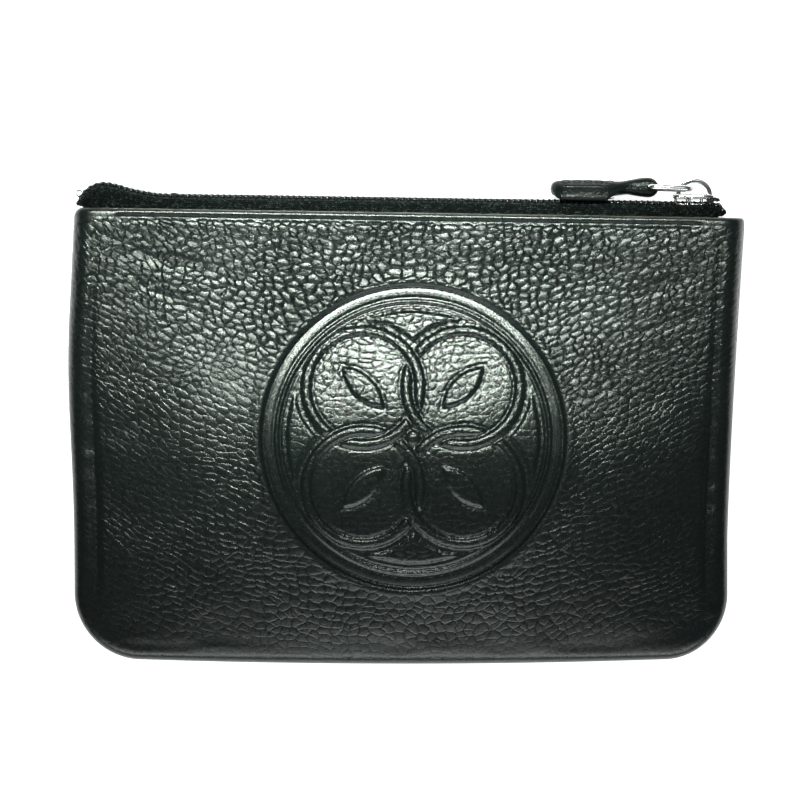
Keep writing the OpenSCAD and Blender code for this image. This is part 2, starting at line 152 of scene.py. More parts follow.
# How the plan departs from a rectangle: a bowed bottom, a bulge on the left and a taper on the right
BOTTOM_BOW, BOTTOM_BOW_X = 1.1, 60
LEFT_INSET, LEFT_BULGE, LEFT_BULGE_Y, LEFT_BULGE_REACH = 0.1, 1.3, 15, 22
RIGHT_TAPER, RIGHT_TAPER_Y, RIGHT_POWER = 3.5, -20, 1.25
# The front's belly: how square it is across and up, and the share of the height over which it rises
BELLY_ACROSS, BELLY_UP, BELLY_RISE = 2.4, 2.2, 0.55
# The dip along the seam allowance, as depth and width, and how far in from its edges the back is flat
DIP_DEPTH, DIP_W = 0.25, 1.1
BACK_ROLL = 15


def mouth_edge(x):
    return MOUTH_Y - SLOPE * x


def bottom_edge(x):
    return BOTTOM_Y + BOTTOM_BOW * (x / BOTTOM_BOW_X) ** 2


def left_side(y):
    return HALF_W - LEFT_INSET + LEFT_BULGE * bell((y - LEFT_BULGE_Y) / LEFT_BULGE_REACH)


def right_side(y):
    up = clamp01((y - RIGHT_TAPER_Y) / (MOUTH_Y - RIGHT_TAPER_Y))
    return HALF_W - RIGHT_TAPER * (1 - up ** RIGHT_POWER)


def rounded(x, y, w, r):
    """A square grid place with the two bottom corners drawn in to arcs."""
    a, b = (np.abs(x) - (w - r)) / r, (r - y) / r
    inside = (a <= 0) | (b <= 0)
    a, b = clamp01(a), clamp01(b)
    cx = np.sign(x) * (w - r + r * a * np.sqrt(1 - b * b / 2))
    cy = r - r * b * np.sqrt(1 - a * a / 2)
    return np.where(inside, x, cx), np.where(inside, y, cy)


def plan(x, y):
    """Flat body coordinates, with y up from the bottom seam, to the real plan."""
    low = bottom_edge(x)
    py = low + y / BODY_H * (mouth_edge(x) - low)
    return x / HALF_W * np.where(x < 0, left_side(py), right_side(py)), py


def edge_distance(x, y):
    a, b = np.abs(x) - (HALF_W - CORNER_R), CORNER_R - y
    corner = (a > 0) & (b > 0)
    return np.where(corner, CORNER_R - np.hypot(a, b), np.minimum(HALF_W - np.abs(x), y))


def mouth_share(y):
    return smooth((y / HEM_LINE - 0.5) / 0.5)


def quarter_round(d, r):
    """Rolled edge, squarer than a true arc, as leather turned over a seam allowance is."""
    return r * (1 - (1 - clamp01((d + 0.06) / r)) ** ROLL_POWER) ** (1 / ROLL_POWER)


def belly_share(x, y):
    across = 1 - clamp01(np.abs(x) / HALF_W) ** BELLY_ACROSS
    return across * (1 - (1 - clamp01(y / BODY_H / BELLY_RISE)) ** BELLY_UP)


def allowance_dip(d):
    """The dip in the front along the inner edge of the folded seam allowance."""
    return DIP_DEPTH * bell((d - ALLOWANCE_W) / DIP_W)


def outer_height(x, y, side):
    m, d = mouth_share(y), edge_distance(x, y)
    r = EDGE_ROLL + (MOUTH_H - EDGE_ROLL) * m
    if side == BACK:
        return quarter_round(d, r) + (MOUTH_H - r) * smooth(d / BACK_ROLL)
    rise = (BELLY_H - SEAM_GAP - EDGE_ROLL) * belly_share(x, y)
    return quarter_round(d, r) + (1 - m) * (rise - allowance_dip(d))


def hem_share(y):
    return smooth(y - HEM_LINE)


def inner_height(x, y, side):
    solid = smooth((edge_distance(x, y) - ALLOWANCE_W + 0.5) / 1.5)
    return np.maximum(0, outer_height(x, y, side) - LEATHER_T - HEM_T * hem_share(y)) * solid


def placed(x, y, h, side):
    return xyz(*plan(x, y), SEAM_Z + side * (SEAM_GAP + h))


# ---- mesh helpers ----


class Shape:
    """Points, faces and point attributes gathered for one piece. moving takes the points to their place."""

    def __init__(self, moving=None):
        self.points, self.faces, self.count, self.values, self.moving = [], [], 0, {}, moving

    def add(self, points, faces, **values):
        """Adds points with their faces. An attribute that some points have no value for is 0 there."""
        points = np.asarray(points, float).reshape(-1, 3)
        self.points.append(self.moving(points) if self.moving else points)
        self.faces += [[self.count + k for k in f] for f in faces]
        for name, value in values.items():
            value = np.asarray(value, float).reshape(len(points), -1)
            self.values.setdefault(name, []).append((self.count, value))
        self.count += len(points)
        return self

    def join(self, faces, flip=False):
        """Adds faces between points that are there already."""
        self.faces += [[int(k) for k in (f[::-1] if flip else f)] for f in faces]

    def make(self, name):
        mesh = bpy.data.meshes.new(name)
        mesh.from_pydata((np.vstack(self.points) * MM).tolist(), [], self.faces)
        for key, parts in self.values.items():
            width = parts[0][1].shape[1]
            whole = np.zeros((self.count, width))
            for start, value in parts:
                whole[start:start + len(value)] = value
            kind, field = ("FLOAT_VECTOR", "vector") if width == 3 else ("FLOAT", "value")
            attribute = mesh.attributes.new(key, kind, "POINT")
            attribute.data.foreach_set(field, whole.astype(np.float32).ravel())
        mesh.validate()
        mesh.shade_smooth()
        piece = bpy.data.objects.new(name, mesh)
        bpy.context.scene.collection.objects.link(piece)
        return piece


def grid_faces(n, m, flip=False):
    """Quads of a grid of n by m points, numbered row by row."""
    faces = []
    for i in range(n - 1):
        for j in range(m - 1):
            a = i * m + j
            quad = [a, a + m, a + m + 1, a + 1]
            faces.append(quad[::-1] if flip else quad)
    return faces


def numbers(n, m, first=0):
    """Numbers of a grid's points, n rows of m, from the first one's."""
    return first + np.arange(n * m).reshape(n, m)


def bridge(long_side, short_side, flip=False):
    """Triangles between two lines of points that run the same way, of any two counts."""
    faces, i, j = [], 0, 0
    n, m = len(long_side) - 1, len(short_side) - 1
    while i < n or j < m:
        if j == m or (i < n and (i + 1) * m <= (j + 1) * n):
            face = [long_side[i], long_side[i + 1], short_side[j]]
            i += 1
        else:
            face = [long_side[i], short_side[j + 1], short_side[j]]
            j += 1
        faces.append(face[::-1] if flip else face)
    return faces


def unit(v):
    return v / np.maximum(np.linalg.norm(v, axis=-1, keepdims=True), 1e-9)


def smooth_curve(points, steps):
    """Catmull-Rom curve through points."""
    p = np.asarray(points, float)
    p = np.vstack([2 * p[0] - p[1], p, 2 * p[-1] - p[-2]])
    t = np.arange(steps)[:, None] / steps
    out = []
    for a, b, c, d in zip(p[:-3], p[1:-2], p[2:-1], p[3:]):
        out.append(0.5 * (2 * b + (c - a) * t + (2 * a - 5 * b + 4 * c - d) * t ** 2
                          + (3 * b - a - 3 * c + d) * t ** 3))
    return np.vstack(out + [p[-2:-1]])


def tube_faces(n, m, closed=False):
    """Faces round a tube of n rings of m points, with both ends shut unless it is closed on itself."""
    faces = []
    for i in range(n if closed else n - 1):
        k = (i + 1) % n
        for j in range(m):
            l = (j + 1) % m
            faces.append([i * m + j, i * m + l, k * m + l, k * m + j])
    if not closed:
        faces += [list(range(m))[::-1], [(n - 1) * m + j for j in range(m)]]
    return faces


def sweep(path, section, side_way, closed=False, scale=None):
    """Sweeps a closed section of (a, b) places along a path. a runs along side_way, b square to it."""
    path, section = np.asarray(path, float), np.asarray(section, float)
    n, m = len(path), len(section)
    step = np.roll(path, -1, 0) - np.roll(path, 1, 0) if closed else np.gradient(path, axis=0)
    way = np.broadcast_to(np.asarray(side_way, float), path.shape)
    forward = unit(step)
    across = unit(way - (way * forward).sum(-1, keepdims=True) * forward)
    up = np.cross(forward, across)
    size = np.ones(n) if scale is None else np.asarray(scale)
    points = (path[:, None] + size[:, None, None] * (
        section[None, :, :1] * across[:, None] + section[None, :, 1:] * up[:, None])).reshape(-1, 3)
    return points, tube_faces(n, m, closed)


def leaned(points, angle):
    """Points turned by an angle in the plane of X and Y."""
    c, s = math.cos(angle), math.sin(angle)
    x, y, z = np.asarray(points, float).T
    return xyz(c * x - s * y, s * x + c * y, z)


def circle(radius, sides):
    angle = np.arange(sides) * TAU / sides
    return np.stack([radius * np.cos(angle), radius * np.sin(angle)], 1)


def rounded_box(width, height, radius, steps=4):
    """Section of width by height with round corners."""
    points = []
    for k, (sx, sy) in enumerate([(1, 1), (-1, 1), (-1, -1), (1, -1)]):
        for a in np.linspace(0, math.pi / 2, steps) + k * math.pi / 2:
            points.append([sx * (width / 2 - radius) + radius * math.cos(a),
                           sy * (height / 2 - radius) + radius * math.sin(a)])
    return np.array(points)


def two_ply(radius, sides):
    """Section of a thread of two plies."""
    share = 0.82 + 0.18 * np.cos(2 * np.arange(sides) * TAU / sides)
    return circle(radius, sides) * share[:, None]


def twisted(path, radius, turn, side_way, sides=8):
    """A two-ply thread along a path, whose plies turn once in every turn millimetres."""
    points, faces = sweep(path, two_ply(radius, sides), side_way)
    path = np.asarray(path, float)
    length = np.concatenate([[0], np.cumsum(np.linalg.norm(np.diff(path, axis=0), axis=1))])
    offset = points.reshape(len(path), sides, 3) - path[:, None]
    forward = unit(np.gradient(path, axis=0))[:, None]
    angle = (TAU * length / turn)[:, None, None]
    turned = offset * np.cos(angle) + np.cross(np.broadcast_to(forward, offset.shape), offset) * np.sin(angle)
    return (path[:, None] + turned).reshape(-1, 3), faces


# ---- how pieces move ----

# The mouth gapes like an eye: shut where the slider has stopped and at the right end of the zip
# Left of here the slack end of the zip is pressed down, across its own line, when the pull lies over it
TAIL_X = -43.5


def open_with_front(piece):
    """Bakes the piece's placing into its mesh and reads out its points' places."""
    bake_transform(piece)
    places = np.zeros(len(piece.data.vertices) * 3, np.float32)
    piece.data.vertices.foreach_get("co", places)


def move_with(piece, side):
    if side == FRONT:
        open_with_front(piece)
    else:
        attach(piece, "back_wall")


def press_tail(piece):
    """Hangs the slack left end of the zip on the back wall, with a mesh of its own."""
    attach(piece, "back_wall")
    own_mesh(piece)


# ---- node helpers ----


class Tree:
    """Adds nodes to a material's or a modifier's node tree, and joins them up."""

    def __init__(self, tree):
        self.tree = tree

    def node(self, kind, inputs=None, **settings):
        made = self.tree.nodes.new(kind)
        for key, value in settings.items():
            setattr(made, key, value)
        for key, value in (inputs or {}).items():
            self.put(made.inputs[key], value)
        return made

    def put(self, socket, value):
        if isinstance(value, bpy.types.NodeSocket):
            self.tree.links.new(value, socket)
        else:
            socket.default_value = value

    def math(self, operation, a, b=0.0, clamp=False):
        return self.node("ShaderNodeMath", {0: a, 1: b}, operation=operation, use_clamp=clamp).outputs[0]

    def sum(self, *terms):
        total = terms[0]
        for term in terms[1:]:
            total = self.math("ADD", total, term)
        return total

    def times(self, a, b):
        return self.math("MULTIPLY", a, b)

    def ramp(self, value, low, high, to_low=0.0, to_high=1.0):
        return self.node("ShaderNodeMapRange", {
            "Value": value, "From Min": low, "From Max": high, "To Min": to_low, "To Max": to_high,
        }, interpolation_type="SMOOTHSTEP").outputs[0]

    def vector(self, x, y, z=0.0):
        return self.node("ShaderNodeCombineXYZ", {"X": x, "Y": y, "Z": z}).outputs[0]

    def parts(self, vector):
        return tuple(self.node("ShaderNodeSeparateXYZ", {"Vector": vector}).outputs)

    def place(self):
        return self.node("ShaderNodeTexCoord").outputs["Object"]

    def noise(self, vector, scale, detail=2.0, rough=0.5, output=0):
        """One value, or with output 1 a colour of three."""
        return self.node("ShaderNodeTexNoise", {
            "Vector": vector, "Scale": scale, "Detail": detail, "Roughness": rough,
        }).outputs[output]

    def cells(self, vector, feature, scale=1.0, randomness=1.0):
        return self.node("ShaderNodeTexVoronoi", {
            "Vector": vector, "Scale": scale, "Randomness": randomness,
        }, voronoi_dimensions="2D", feature=feature)

    def colour(self, share, low, high):
        """Mixes two colours, each of them a socket or three numbers."""
        made = self.node("ShaderNodeMix", data_type="RGBA")
        self.put(made.inputs[0], share)
        for socket, value in ((made.inputs[6], low), (made.inputs[7], high)):
            self.put(socket, (*value, 1.0) if isinstance(value, tuple) else value)
        return made.outputs[2]


# Pebbles of the grain: their size across and up, how their rows bow, and how far they stand out
PEBBLE_W, PEBBLE_H, ROW_BOW = 2.1, 1.42, 0.0043
GRAIN_DEPTH = 0.27
# How far pebbles stray from their rows, in pebbles: over many together, and one by one
WANDER, SHAKE = 2.0, 0.5
# How uneven the pebbles are, from 0 to 1, and how wide the crease round each is
PEBBLE_RANDOM, CREASE_W = 0.82, 0.14
# The mean height of a pebble's face, which add_grain leaves where it is
GRAIN_MEAN = 0.75


def pebble_height(t, flat):
    """Height of the pebbled grain, about 0 in a crease and 1 on top, from flat body coordinates."""
    x, y, _ = t.parts(flat)
    wander_x, wander_y, _ = t.parts(t.noise(flat, 0.09, 0.0, output=1))
    shake_x, shake_y, _ = t.parts(t.noise(flat, 0.7, 1.0, output=1))
    rows = t.math("SUBTRACT", y, t.times(t.times(x, x), ROW_BOW))
    px = t.sum(t.times(x, 1 / PEBBLE_W), t.times(wander_x, WANDER), t.times(shake_x, SHAKE))
    py = t.sum(t.times(rows, 1 / PEBBLE_H), t.times(wander_y, WANDER), t.times(shake_y, SHAKE))
    place = t.vector(px, py)
    edge = t.cells(place, "DISTANCE_TO_EDGE", randomness=PEBBLE_RANDOM).outputs["Distance"]
    centre = t.cells(place, "F1", randomness=PEBBLE_RANDOM)
    crease = t.math("POWER", t.math("MULTIPLY", edge, 1 / CREASE_W, clamp=True), 0.9)
    away = t.times(centre.outputs["Distance"], 1.35)
    dome = t.math("SUBTRACT", 1.0, t.times(away, away), clamp=True)
    lift, _, _ = t.parts(centre.outputs["Color"])
    small = t.cells(t.vector(px, t.times(py, 1.15)), "DISTANCE_TO_EDGE", scale=2.3).outputs["Distance"]
    wrinkle = t.ramp(small, 0.0, 0.16)
    top = t.sum(t.times(dome, 0.32), t.times(lift, 0.12), t.times(wrinkle, 0.08), 0.48)
    return t.times(crease, top), crease


def add_grain(piece):
    """Raises the pebbled grain in the mesh itself, by the piece's own grain attribute."""
    group = bpy.data.node_groups.new(piece.name + "_grain", "GeometryNodeTree")
    for way in ("INPUT", "OUTPUT"):
        group.interface.new_socket("Geometry", in_out=way, socket_type="NodeSocketGeometry")
    t = Tree(group)
    start, end = t.node("NodeGroupInput"), t.node("NodeGroupOutput")
    flat, amount = (t.node("GeometryNodeInputNamedAttribute", {"Name": name}, data_type=kind)
                    for name, kind in (("flat", "FLOAT_VECTOR"), ("grain", "FLOAT")))
    height, _ = pebble_height(t, flat.outputs["Attribute"])
    depth = t.times(amount.outputs["Attribute"], GRAIN_DEPTH * MM)
    lift = t.times(t.math("SUBTRACT", height, GRAIN_MEAN), depth)
    normal = t.node("GeometryNodeInputNormal").outputs[0]
    offset = t.node("ShaderNodeVectorMath", {0: normal, "Scale": lift}, operation="SCALE").outputs[0]
    shift = t.node("GeometryNodeSetPosition", {"Geometry": start.outputs[0], "Offset": offset})
    t.put(end.inputs[0], shift.outputs[0])
    piece.modifiers.new("grain", "NODES").node_group = group
    bpy.context.view_layer.update()
    shaped = piece.evaluated_get(bpy.context.evaluated_depsgraph_get())
    mesh = bpy.data.meshes.new_from_object(shaped)
    mesh.name = piece.name
    piece.modifiers.clear()
    piece.data = mesh
    mesh.shade_smooth()


# ---- materials ----


def material(name, **constants):
    """A node tree with a Principled shader, whose constant values sit on its own sockets."""
    made = bpy.data.materials.new(name)
    made.use_nodes = True
    t = Tree(made.node_tree)
    t.material, t.shader = made, made.node_tree.nodes["Principled BSDF"]
    for key, value in constants.items():
        t.shader.inputs[key.replace("_", " ")].default_value = value
    return t


def coat(t, colour, roughness, height=None, depth=0.0):
    """Joins a colour, a roughness and a bump of that depth in millimetres, and gives the material."""
    t.put(t.shader.inputs["Base Color"], colour)
    t.put(t.shader.inputs["Roughness"], roughness)
    if height is not None:
        bump = t.node("ShaderNodeBump", {"Height": height, "Distance": depth * MM, "Strength": 1.0})
        t.put(t.shader.inputs["Normal"], bump.outputs[0])
    return t.material


# Pitches of the lining's threads, and of the tape's knitted loops across and up, in millimetres
CLOTH_PITCH = 0.62
LOOP_U, LOOP_V = 0.48, 0.38


def attribute(t, name, kind="Fac"):
    return t.node("ShaderNodeAttribute", attribute_name=name).outputs[kind]


def grained_leather():
    t = material("grained_leather", Specular_IOR_Level=0.62)
    flat = attribute(t, "flat", "Vector")
    grain, gloss, cut = (attribute(t, name) for name in ("grain", "gloss", "cut"))
    height, crease = pebble_height(t, flat)
    cloudy = t.noise(flat, 0.06, 3.0)
    mottled = t.noise(flat, 1.1, 4.0, 0.65)
    pores = t.noise(flat, 5.5, 3.0, 0.7)
    dark = t.colour(t.ramp(mottled, 0.35, 0.7), (0.0026, 0.0056, 0.0050), (0.0054, 0.0102, 0.0090))
    body = t.colour(t.ramp(cloudy, 0.3, 0.75, 0.0, 0.45), dark, (0.0072, 0.0130, 0.0115))
    # painted shade: the colour is darkened in the creases between the pebbles, where shade falls, and more so
    # where the grain stands out
    crease_shade = t.times(t.math("SUBTRACT", 1.0, crease), t.times(grain, 0.9))
    crease_shaded = t.colour(crease_shade, body, (0.0010, 0.0018, 0.0016))
    tan = t.colour(t.noise(flat, 2.2, 3.0), (0.085, 0.050, 0.030), (0.21, 0.145, 0.095))
    matte = t.sum(0.26, t.times(t.ramp(mottled, 0.3, 0.75), 0.06), t.times(cut, 0.3))
    matte = t.math("SUBTRACT", matte, t.times(gloss, 0.03))
    fine = t.sum(t.times(pores, 0.12), t.times(mottled, 0.16))
    return coat(t, t.colour(cut, crease_shaded, tan), matte, t.sum(t.times(height, grain), fine), 0.2)


def tab_leather():
    t = material("tab_leather", Specular_IOR_Level=0.28)
    place = t.place()
    fine = t.noise(place, 900.0, 3.0, 0.6)
    broad = t.noise(place, 160.0, 2.0)
    edges = t.node("ShaderNodeTexVoronoi", {"Vector": place, "Scale": 1100.0}, feature="DISTANCE_TO_EDGE")
    pebbles = t.ramp(edges.outputs["Distance"], 0.0, 0.25)
    return coat(t, t.colour(broad, (0.002, 0.0035, 0.0035), (0.004, 0.0065, 0.0065)),
                t.ramp(broad, 0.3, 0.7, 0.3, 0.42), t.sum(t.times(pebbles, 0.5), t.times(fine, 0.6)), 0.06)


def lining_cloth():
    """Plain weave: threads that pass over and under each other."""
    t = material("lining_cloth", Specular_IOR_Level=0.35, Sheen_Weight=0.25, Sheen_Roughness=0.5)
    flat = attribute(t, "flat", "Vector")
    u, v = (t.times(way, TAU / CLOTH_PITCH) for way in t.parts(flat)[:2])
    over = t.times(t.math("SINE", u), t.math("SINE", v))
    across, along = (t.math("COSINE", t.times(way, 2.0)) for way in (u, v))
    weave = t.sum(t.times(over, 0.5), t.times(across, 0.2), t.times(along, 0.2))
    speck = t.noise(flat, 3.2, 4.0, 0.7)
    # painted highlight where the threads pass over and painted shade where they pass under; the specks add a
    # random lighter tone
    lit, dusty = t.ramp(weave, -0.7, 0.8, 0.0, 0.7), t.ramp(speck, 0.35, 0.75, 0.0, 0.45)
    share = t.math("ADD", lit, dusty, clamp=True)
    return coat(t, t.colour(share, (0.010, 0.010, 0.011), (0.035, 0.035, 0.037)),
                t.ramp(speck, 0.3, 0.7, 0.65, 0.85), t.sum(weave, t.times(speck, 0.6)), 0.05)


def zip_tape():
    """Knitted tape: rows of small loops, each with a painted highlight on its top and painted shade in the
    gap round it.
    """
    t = material("zip_tape", Specular_IOR_Level=0.12)
    flat = attribute(t, "flat", "Vector")
    x, y, _ = t.parts(flat)
    slant = t.sum(x, t.times(t.math("SINE", t.times(y, TAU / 0.9)), 0.16))
    place = t.vector(t.times(slant, 1 / LOOP_U), t.times(y, 1 / LOOP_V))
    edge = t.cells(place, "DISTANCE_TO_EDGE", randomness=0.55).outputs["Distance"]
    tint, lift, _ = t.parts(t.cells(place, "F1", randomness=0.55).outputs["Color"])
    loops = t.ramp(edge, 0.02, 0.34)
    speck = t.noise(flat, 4.0, 3.0, 0.7)
    # painted shade darkens the colour towards each loop's edge; the painted highlight on its top has a random
    # strength for each loop
    share = t.times(loops, t.sum(0.06, t.times(t.math("POWER", tint, 3.0), 0.94)))
    return coat(t, t.colour(share, (0.0004, 0.0010, 0.0012), (0.055, 0.080, 0.078)),
                t.math("SUBTRACT", 0.8, t.times(loops, 0.36)),
                t.sum(loops, t.times(lift, 0.8), t.times(speck, 0.5)), 0.22)


def one_noise(name, specular, scale, detail, rough, low, high, matte, depth):
    """A material whose colour, roughness and bump all follow the same noise."""
    t = material(name, Specular_IOR_Level=specular)
    noise = t.noise(t.place(), scale, detail, rough)
    return coat(t, t.colour(noise, low, high), t.ramp(noise, 0.3, 0.7, *matte), noise, depth)


def plated_metal():
    t = material("plated_metal", Metallic=1.0)
    place = t.place()
    stretched = t.node("ShaderNodeMapping", {"Vector": place, "Scale": (1.0, 14.0, 14.0)}).outputs[0]
    brushed = t.noise(stretched, 260.0, 3.0, 0.6)
    worn = t.noise(place, 420.0, 3.0)
    return coat(t, t.colour(worn, (0.60, 0.59, 0.60), (0.78, 0.77, 0.77)),
                t.ramp(brushed, 0.3, 0.75, 0.13, 0.27), t.sum(brushed, t.times(worn, 0.5)), 0.012)


def pale_floor():
    t = material("pale_floor", Specular_IOR_Level=0.1, Emission_Strength=0.92, Emission_Color=(1, 1, 1, 1))
    return coat(t, t.colour(t.noise(t.place(), 40.0), (0.90, 0.90, 0.90), (0.93, 0.93, 0.93)), 0.9)


# Materials of one noise as name, specular, the noise's scale, detail and roughness, two colours, the range
# of roughness and the bump's depth
ONE_NOISE = (
    ("nylon_coil", 1.0, 700.0, 2.0, 0.5, (0.0025, 0.0055, 0.0065), (0.007, 0.012, 0.014), (0.1, 0.18), 0.02),
    ("core_cord", 0.3, 2600.0, 3.0, 0.5, (0.004, 0.005, 0.005), (0.018, 0.020, 0.020), (0.45, 0.7), 0.03),
    ("sewing_thread", 0.3, 2600.0, 3.0, 0.5, (0.0025, 0.0035, 0.0035), (0.014, 0.017, 0.0165),
     (0.45, 0.7), 0.03),
    ("filler_board", 0.2, 1500.0, 4.0, 0.7, (0.02, 0.018, 0.016), (0.06, 0.055, 0.05), (0.75, 0.95), 0.05),
)
# The material that each of the record's slots is given
MATERIALS = {
    "grained_leather": grained_leather(), "tab_leather": tab_leather(), "lining_cloth": lining_cloth(),
    "zip_tape": zip_tape(), "plated_metal": plated_metal(), **{row[0]: one_noise(*row) for row in ONE_NOISE},
}


def finish_piece(piece, slot, node=None, body=None):
    """Gives a piece its slot's material, hides the CAD node it stands for, and maybe hangs it on a body."""
    piece.data.materials.clear()
    piece.data.materials.append(MATERIALS[slot])
    if node:
        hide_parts(node)
    if body:
        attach(piece, body)
    return piece


# ---- pressed medallion ----

# Its middle, the outside, band and field of its border, and how deep the whole is pressed
MEDAL_X, MEDAL_Y = 0.7, 0.3
MEDAL_R, BAND_R, FIELD_R = 30.0, 27.7, 26.4
PRESS = 0.5
# Four rings, how far out they stand and half their strands' width, the leaves in them and the boss between
RING_R, RING_OUT, STRAND = 11.3, 14.0, 1.0
LEAF_R, LEAF_OFF = 8.6, 6.2
BOSS_R = 1.5


def medal_place(x, y):
    """Flat body coordinates to the plan, measured from the medallion's middle."""
    px, py = plan(x, y)
    return px - MEDAL_X, py - MEDAL_Y


def strand(s):
    """Raised round strand along s = 0, with a pressed groove on either side."""
    top = 0.42 * np.sqrt(clamp01(1 - (s / STRAND) ** 2))
    return top - 0.2 * bell((np.abs(s) - STRAND - 0.22) / 0.26)


def raised_pad(d, height):
    """Pad inside d = 0, with a groove round it."""
    return height * smooth(d / 0.7) - 0.17 * bell((d + 0.15) / 0.26)


def medal_relief(x, y):
    """Height of the pressed ornament, x and y from its middle: interlaced rings, leaves and pads."""
    r = np.hypot(x, y)
    angles = [TAU * (k + 0.5) / 4 for k in range(4)]
    places = [(x - RING_OUT * math.cos(a), y - RING_OUT * math.sin(a)) for a in angles]
    lines = [np.hypot(*place) - RING_R for place in places]
    near = [np.abs(s) < STRAND + 0.5 for s in lines]
    height = np.zeros_like(r)
    for s, close in zip(lines, near):
        height = np.where(close, strand(s), height)
    crossing_r = RING_OUT * math.cos(TAU / 8)
    for k in range(4):
        n = (k + 1) % 4
        over = np.where(r < crossing_r, lines[k], lines[n])
        height = np.where(near[k] & near[n], strand(over), height)
    for k, (a, (dx, dy)) in enumerate(zip(angles, places)):
        ux, uy = dx * math.cos(a) + dy * math.sin(a), dy * math.cos(a) - dx * math.sin(a)
        leaf = LEAF_R - np.hypot(ux, np.abs(uy) + LEAF_OFF)
        height += raised_pad(leaf, 0.3) * (np.abs(lines[k]) > STRAND) * (lines[k] < 0)
        between = np.minimum(np.minimum(lines[k], lines[(k + 1) % 4]) - 2.0, FIELD_R - 1.2 - r)
        sector = np.cos(np.arctan2(y, x) - (a + TAU / 8)) > math.cos(TAU / 8)
        height += raised_pad(between, 0.26) * sector * (r > crossing_r)
    boss = 0.4 * np.sqrt(clamp01(1 - (r / BOSS_R) ** 2)) - 0.15 * bell((r - BOSS_R - 0.2) / 0.25)
    height += boss * (r < BOSS_R + 0.8)
    field = height * smooth((FIELD_R - r) / 0.4)
    rim = 0.24 * bell((r - (BAND_R + FIELD_R) / 2) / 0.42)
    grooves = -0.36 * bell((r - FIELD_R) / 0.3) - 0.26 * bell((r - BAND_R) / 0.24)
    step = -PRESS * smooth((MEDAL_R + 0.5 - r) / 0.75)
    lip = 0.2 * bell((r - MEDAL_R - 1.2) / 0.9)
    seat = -0.18 * bell((r - MEDAL_R + 0.15) / 0.3)
    return step + lip + seat + (field + rim + grooves) * (r < MEDAL_R + 1)


# ---- leather panels ----

MOUTH_ROUND = 0.9
# How far the raw edge's colour shows on the rows over the mouth's edge
RAW_SHARE = 0.9
# The mouth seam's groove: its depth, how much deeper a stitch pulls it, and its width
GROOVE_DEPTH, GROOVE_PULL, GROOVE_W = 0.46, 0.16, 0.52
# The hem's bead and the pressed line along the seam allowance, as depth and width
BEAD_DROP, BEAD_W = 0.11, 1.1
LINE_DEPTH, LINE_W = 0.32, 0.55
# Waves and puckers of the leather as height, cell size and seed
WAVES = ((0.16, 13, 5), (0.07, 5.5, 9))
PUCKER_H, PUCKER_CELL, PUCKER_SEED = 0.11, 2.2, 3
STITCH_Y, STITCH_PITCH, STITCH_L, STITCH_R = 1.4, 3.2, 2.5, 0.2
# How a stitch rises from the surface and dips at its ends, and its thread's radius, for each kind of seam
MOUTH_RISE, MOUTH_DIP = {FRONT: 0.1, BACK: 0.04}, 0.45
INNER_THREAD, TAB_THREAD = (0.02, 0.12, 0.14), (0.02, 0.3, 0.12)
STITCH_REACH = 18 * STITCH_PITCH
# Soft folds of the front as [x, y, x, y, depth, width], in flat coordinates from the middle of the mouth
FOLDS = [
    [-60, -8, -34, -13, 0.22, 1.5], [-56, -13, -40, -21, 0.16, 1.2], [60, -12, 40, -17, 0.18, 1.3],
    [61, -19, 46, -24, 0.16, 1.2], [-30, -8, -10, -6, 0.1, 1.1], [62, -42, 48, -36, 0.16, 1.6],
    [-62, -46, -48, -40, 0.14, 1.6],
]


def fold(x, y, x0, y0, x1, y1, depth, width):
    """A soft valley between two places, which fades out at its ends."""
    dx, dy = x1 - x0, y1 - y0
    length = math.hypot(dx, dy)
    t = ((x - x0) * dx + (y - y0) * dy) / length ** 2
    off = ((y - y0) * dx - (x - x0) * dy) / length + 1.2 * (t - 0.5) ** 2
    return -depth * bell(off / width) * smooth(t / 0.25) * smooth((1 - t) / 0.35)


def mouth_seam(x, side):
    """Share of the mouth's stitched groove that is there, which ends short of both sides."""
    return smooth((STITCH_REACH + 1.5 - np.abs(x)) / 2.5) * (1.0 if side == FRONT else 0.6)


def relief(x, y, side):
    """What stands out of a panel besides its belly: seam, bead, folds and medallion."""
    down = BODY_H - y
    d = edge_distance(x, y)
    pulled = 0.5 + 0.5 * np.cos(TAU * x / STITCH_PITCH)
    groove = -(GROOVE_DEPTH + GROOVE_PULL * pulled) * bell((down - STITCH_Y - 0.3) / GROOVE_W)
    bead = -BEAD_DROP * (1 - clamp01(down / BEAD_W)) ** 1.2
    below = (0.03 + 0.07 * pulled) * bell((down - STITCH_Y - 1.5) / 0.8)
    height = (groove + below) * mouth_seam(x, side) + bead * smooth((HALF_W - np.abs(x)) / 5)
    valley = -LINE_DEPTH * bell((d - ALLOWANCE_W - 0.2) / LINE_W)
    valley = valley * smooth((down - 2.5) / 4) * smooth((y - 8) / 12)
    waves = sum(h * lattice_noise(x, y, cell, seed) for h, cell, seed in WAVES)
    puckers = PUCKER_H * lattice_noise(x * 0.3, y, PUCKER_CELL, PUCKER_SEED)
    puckers = puckers * bell((d - 3.2) / 1.6) * smooth((down - 6) / 8)
    if side == FRONT:
        # the fold's inner edge doesn't show through along the bottom
        height = height + allowance_dip(d) * smooth((24 - y) / 12)
        height = height + (valley + puckers) * smooth((d - 0.8) / 1.5)
        height = height + waves * smooth((d - 2) / 6) * smooth(down / 6)
        for line in FOLDS:
            height = height + fold(x, y - BODY_H, *line) * smooth((d - 1.5) / 3)
        height = height + medal_relief(*medal_place(x, y))
    return height


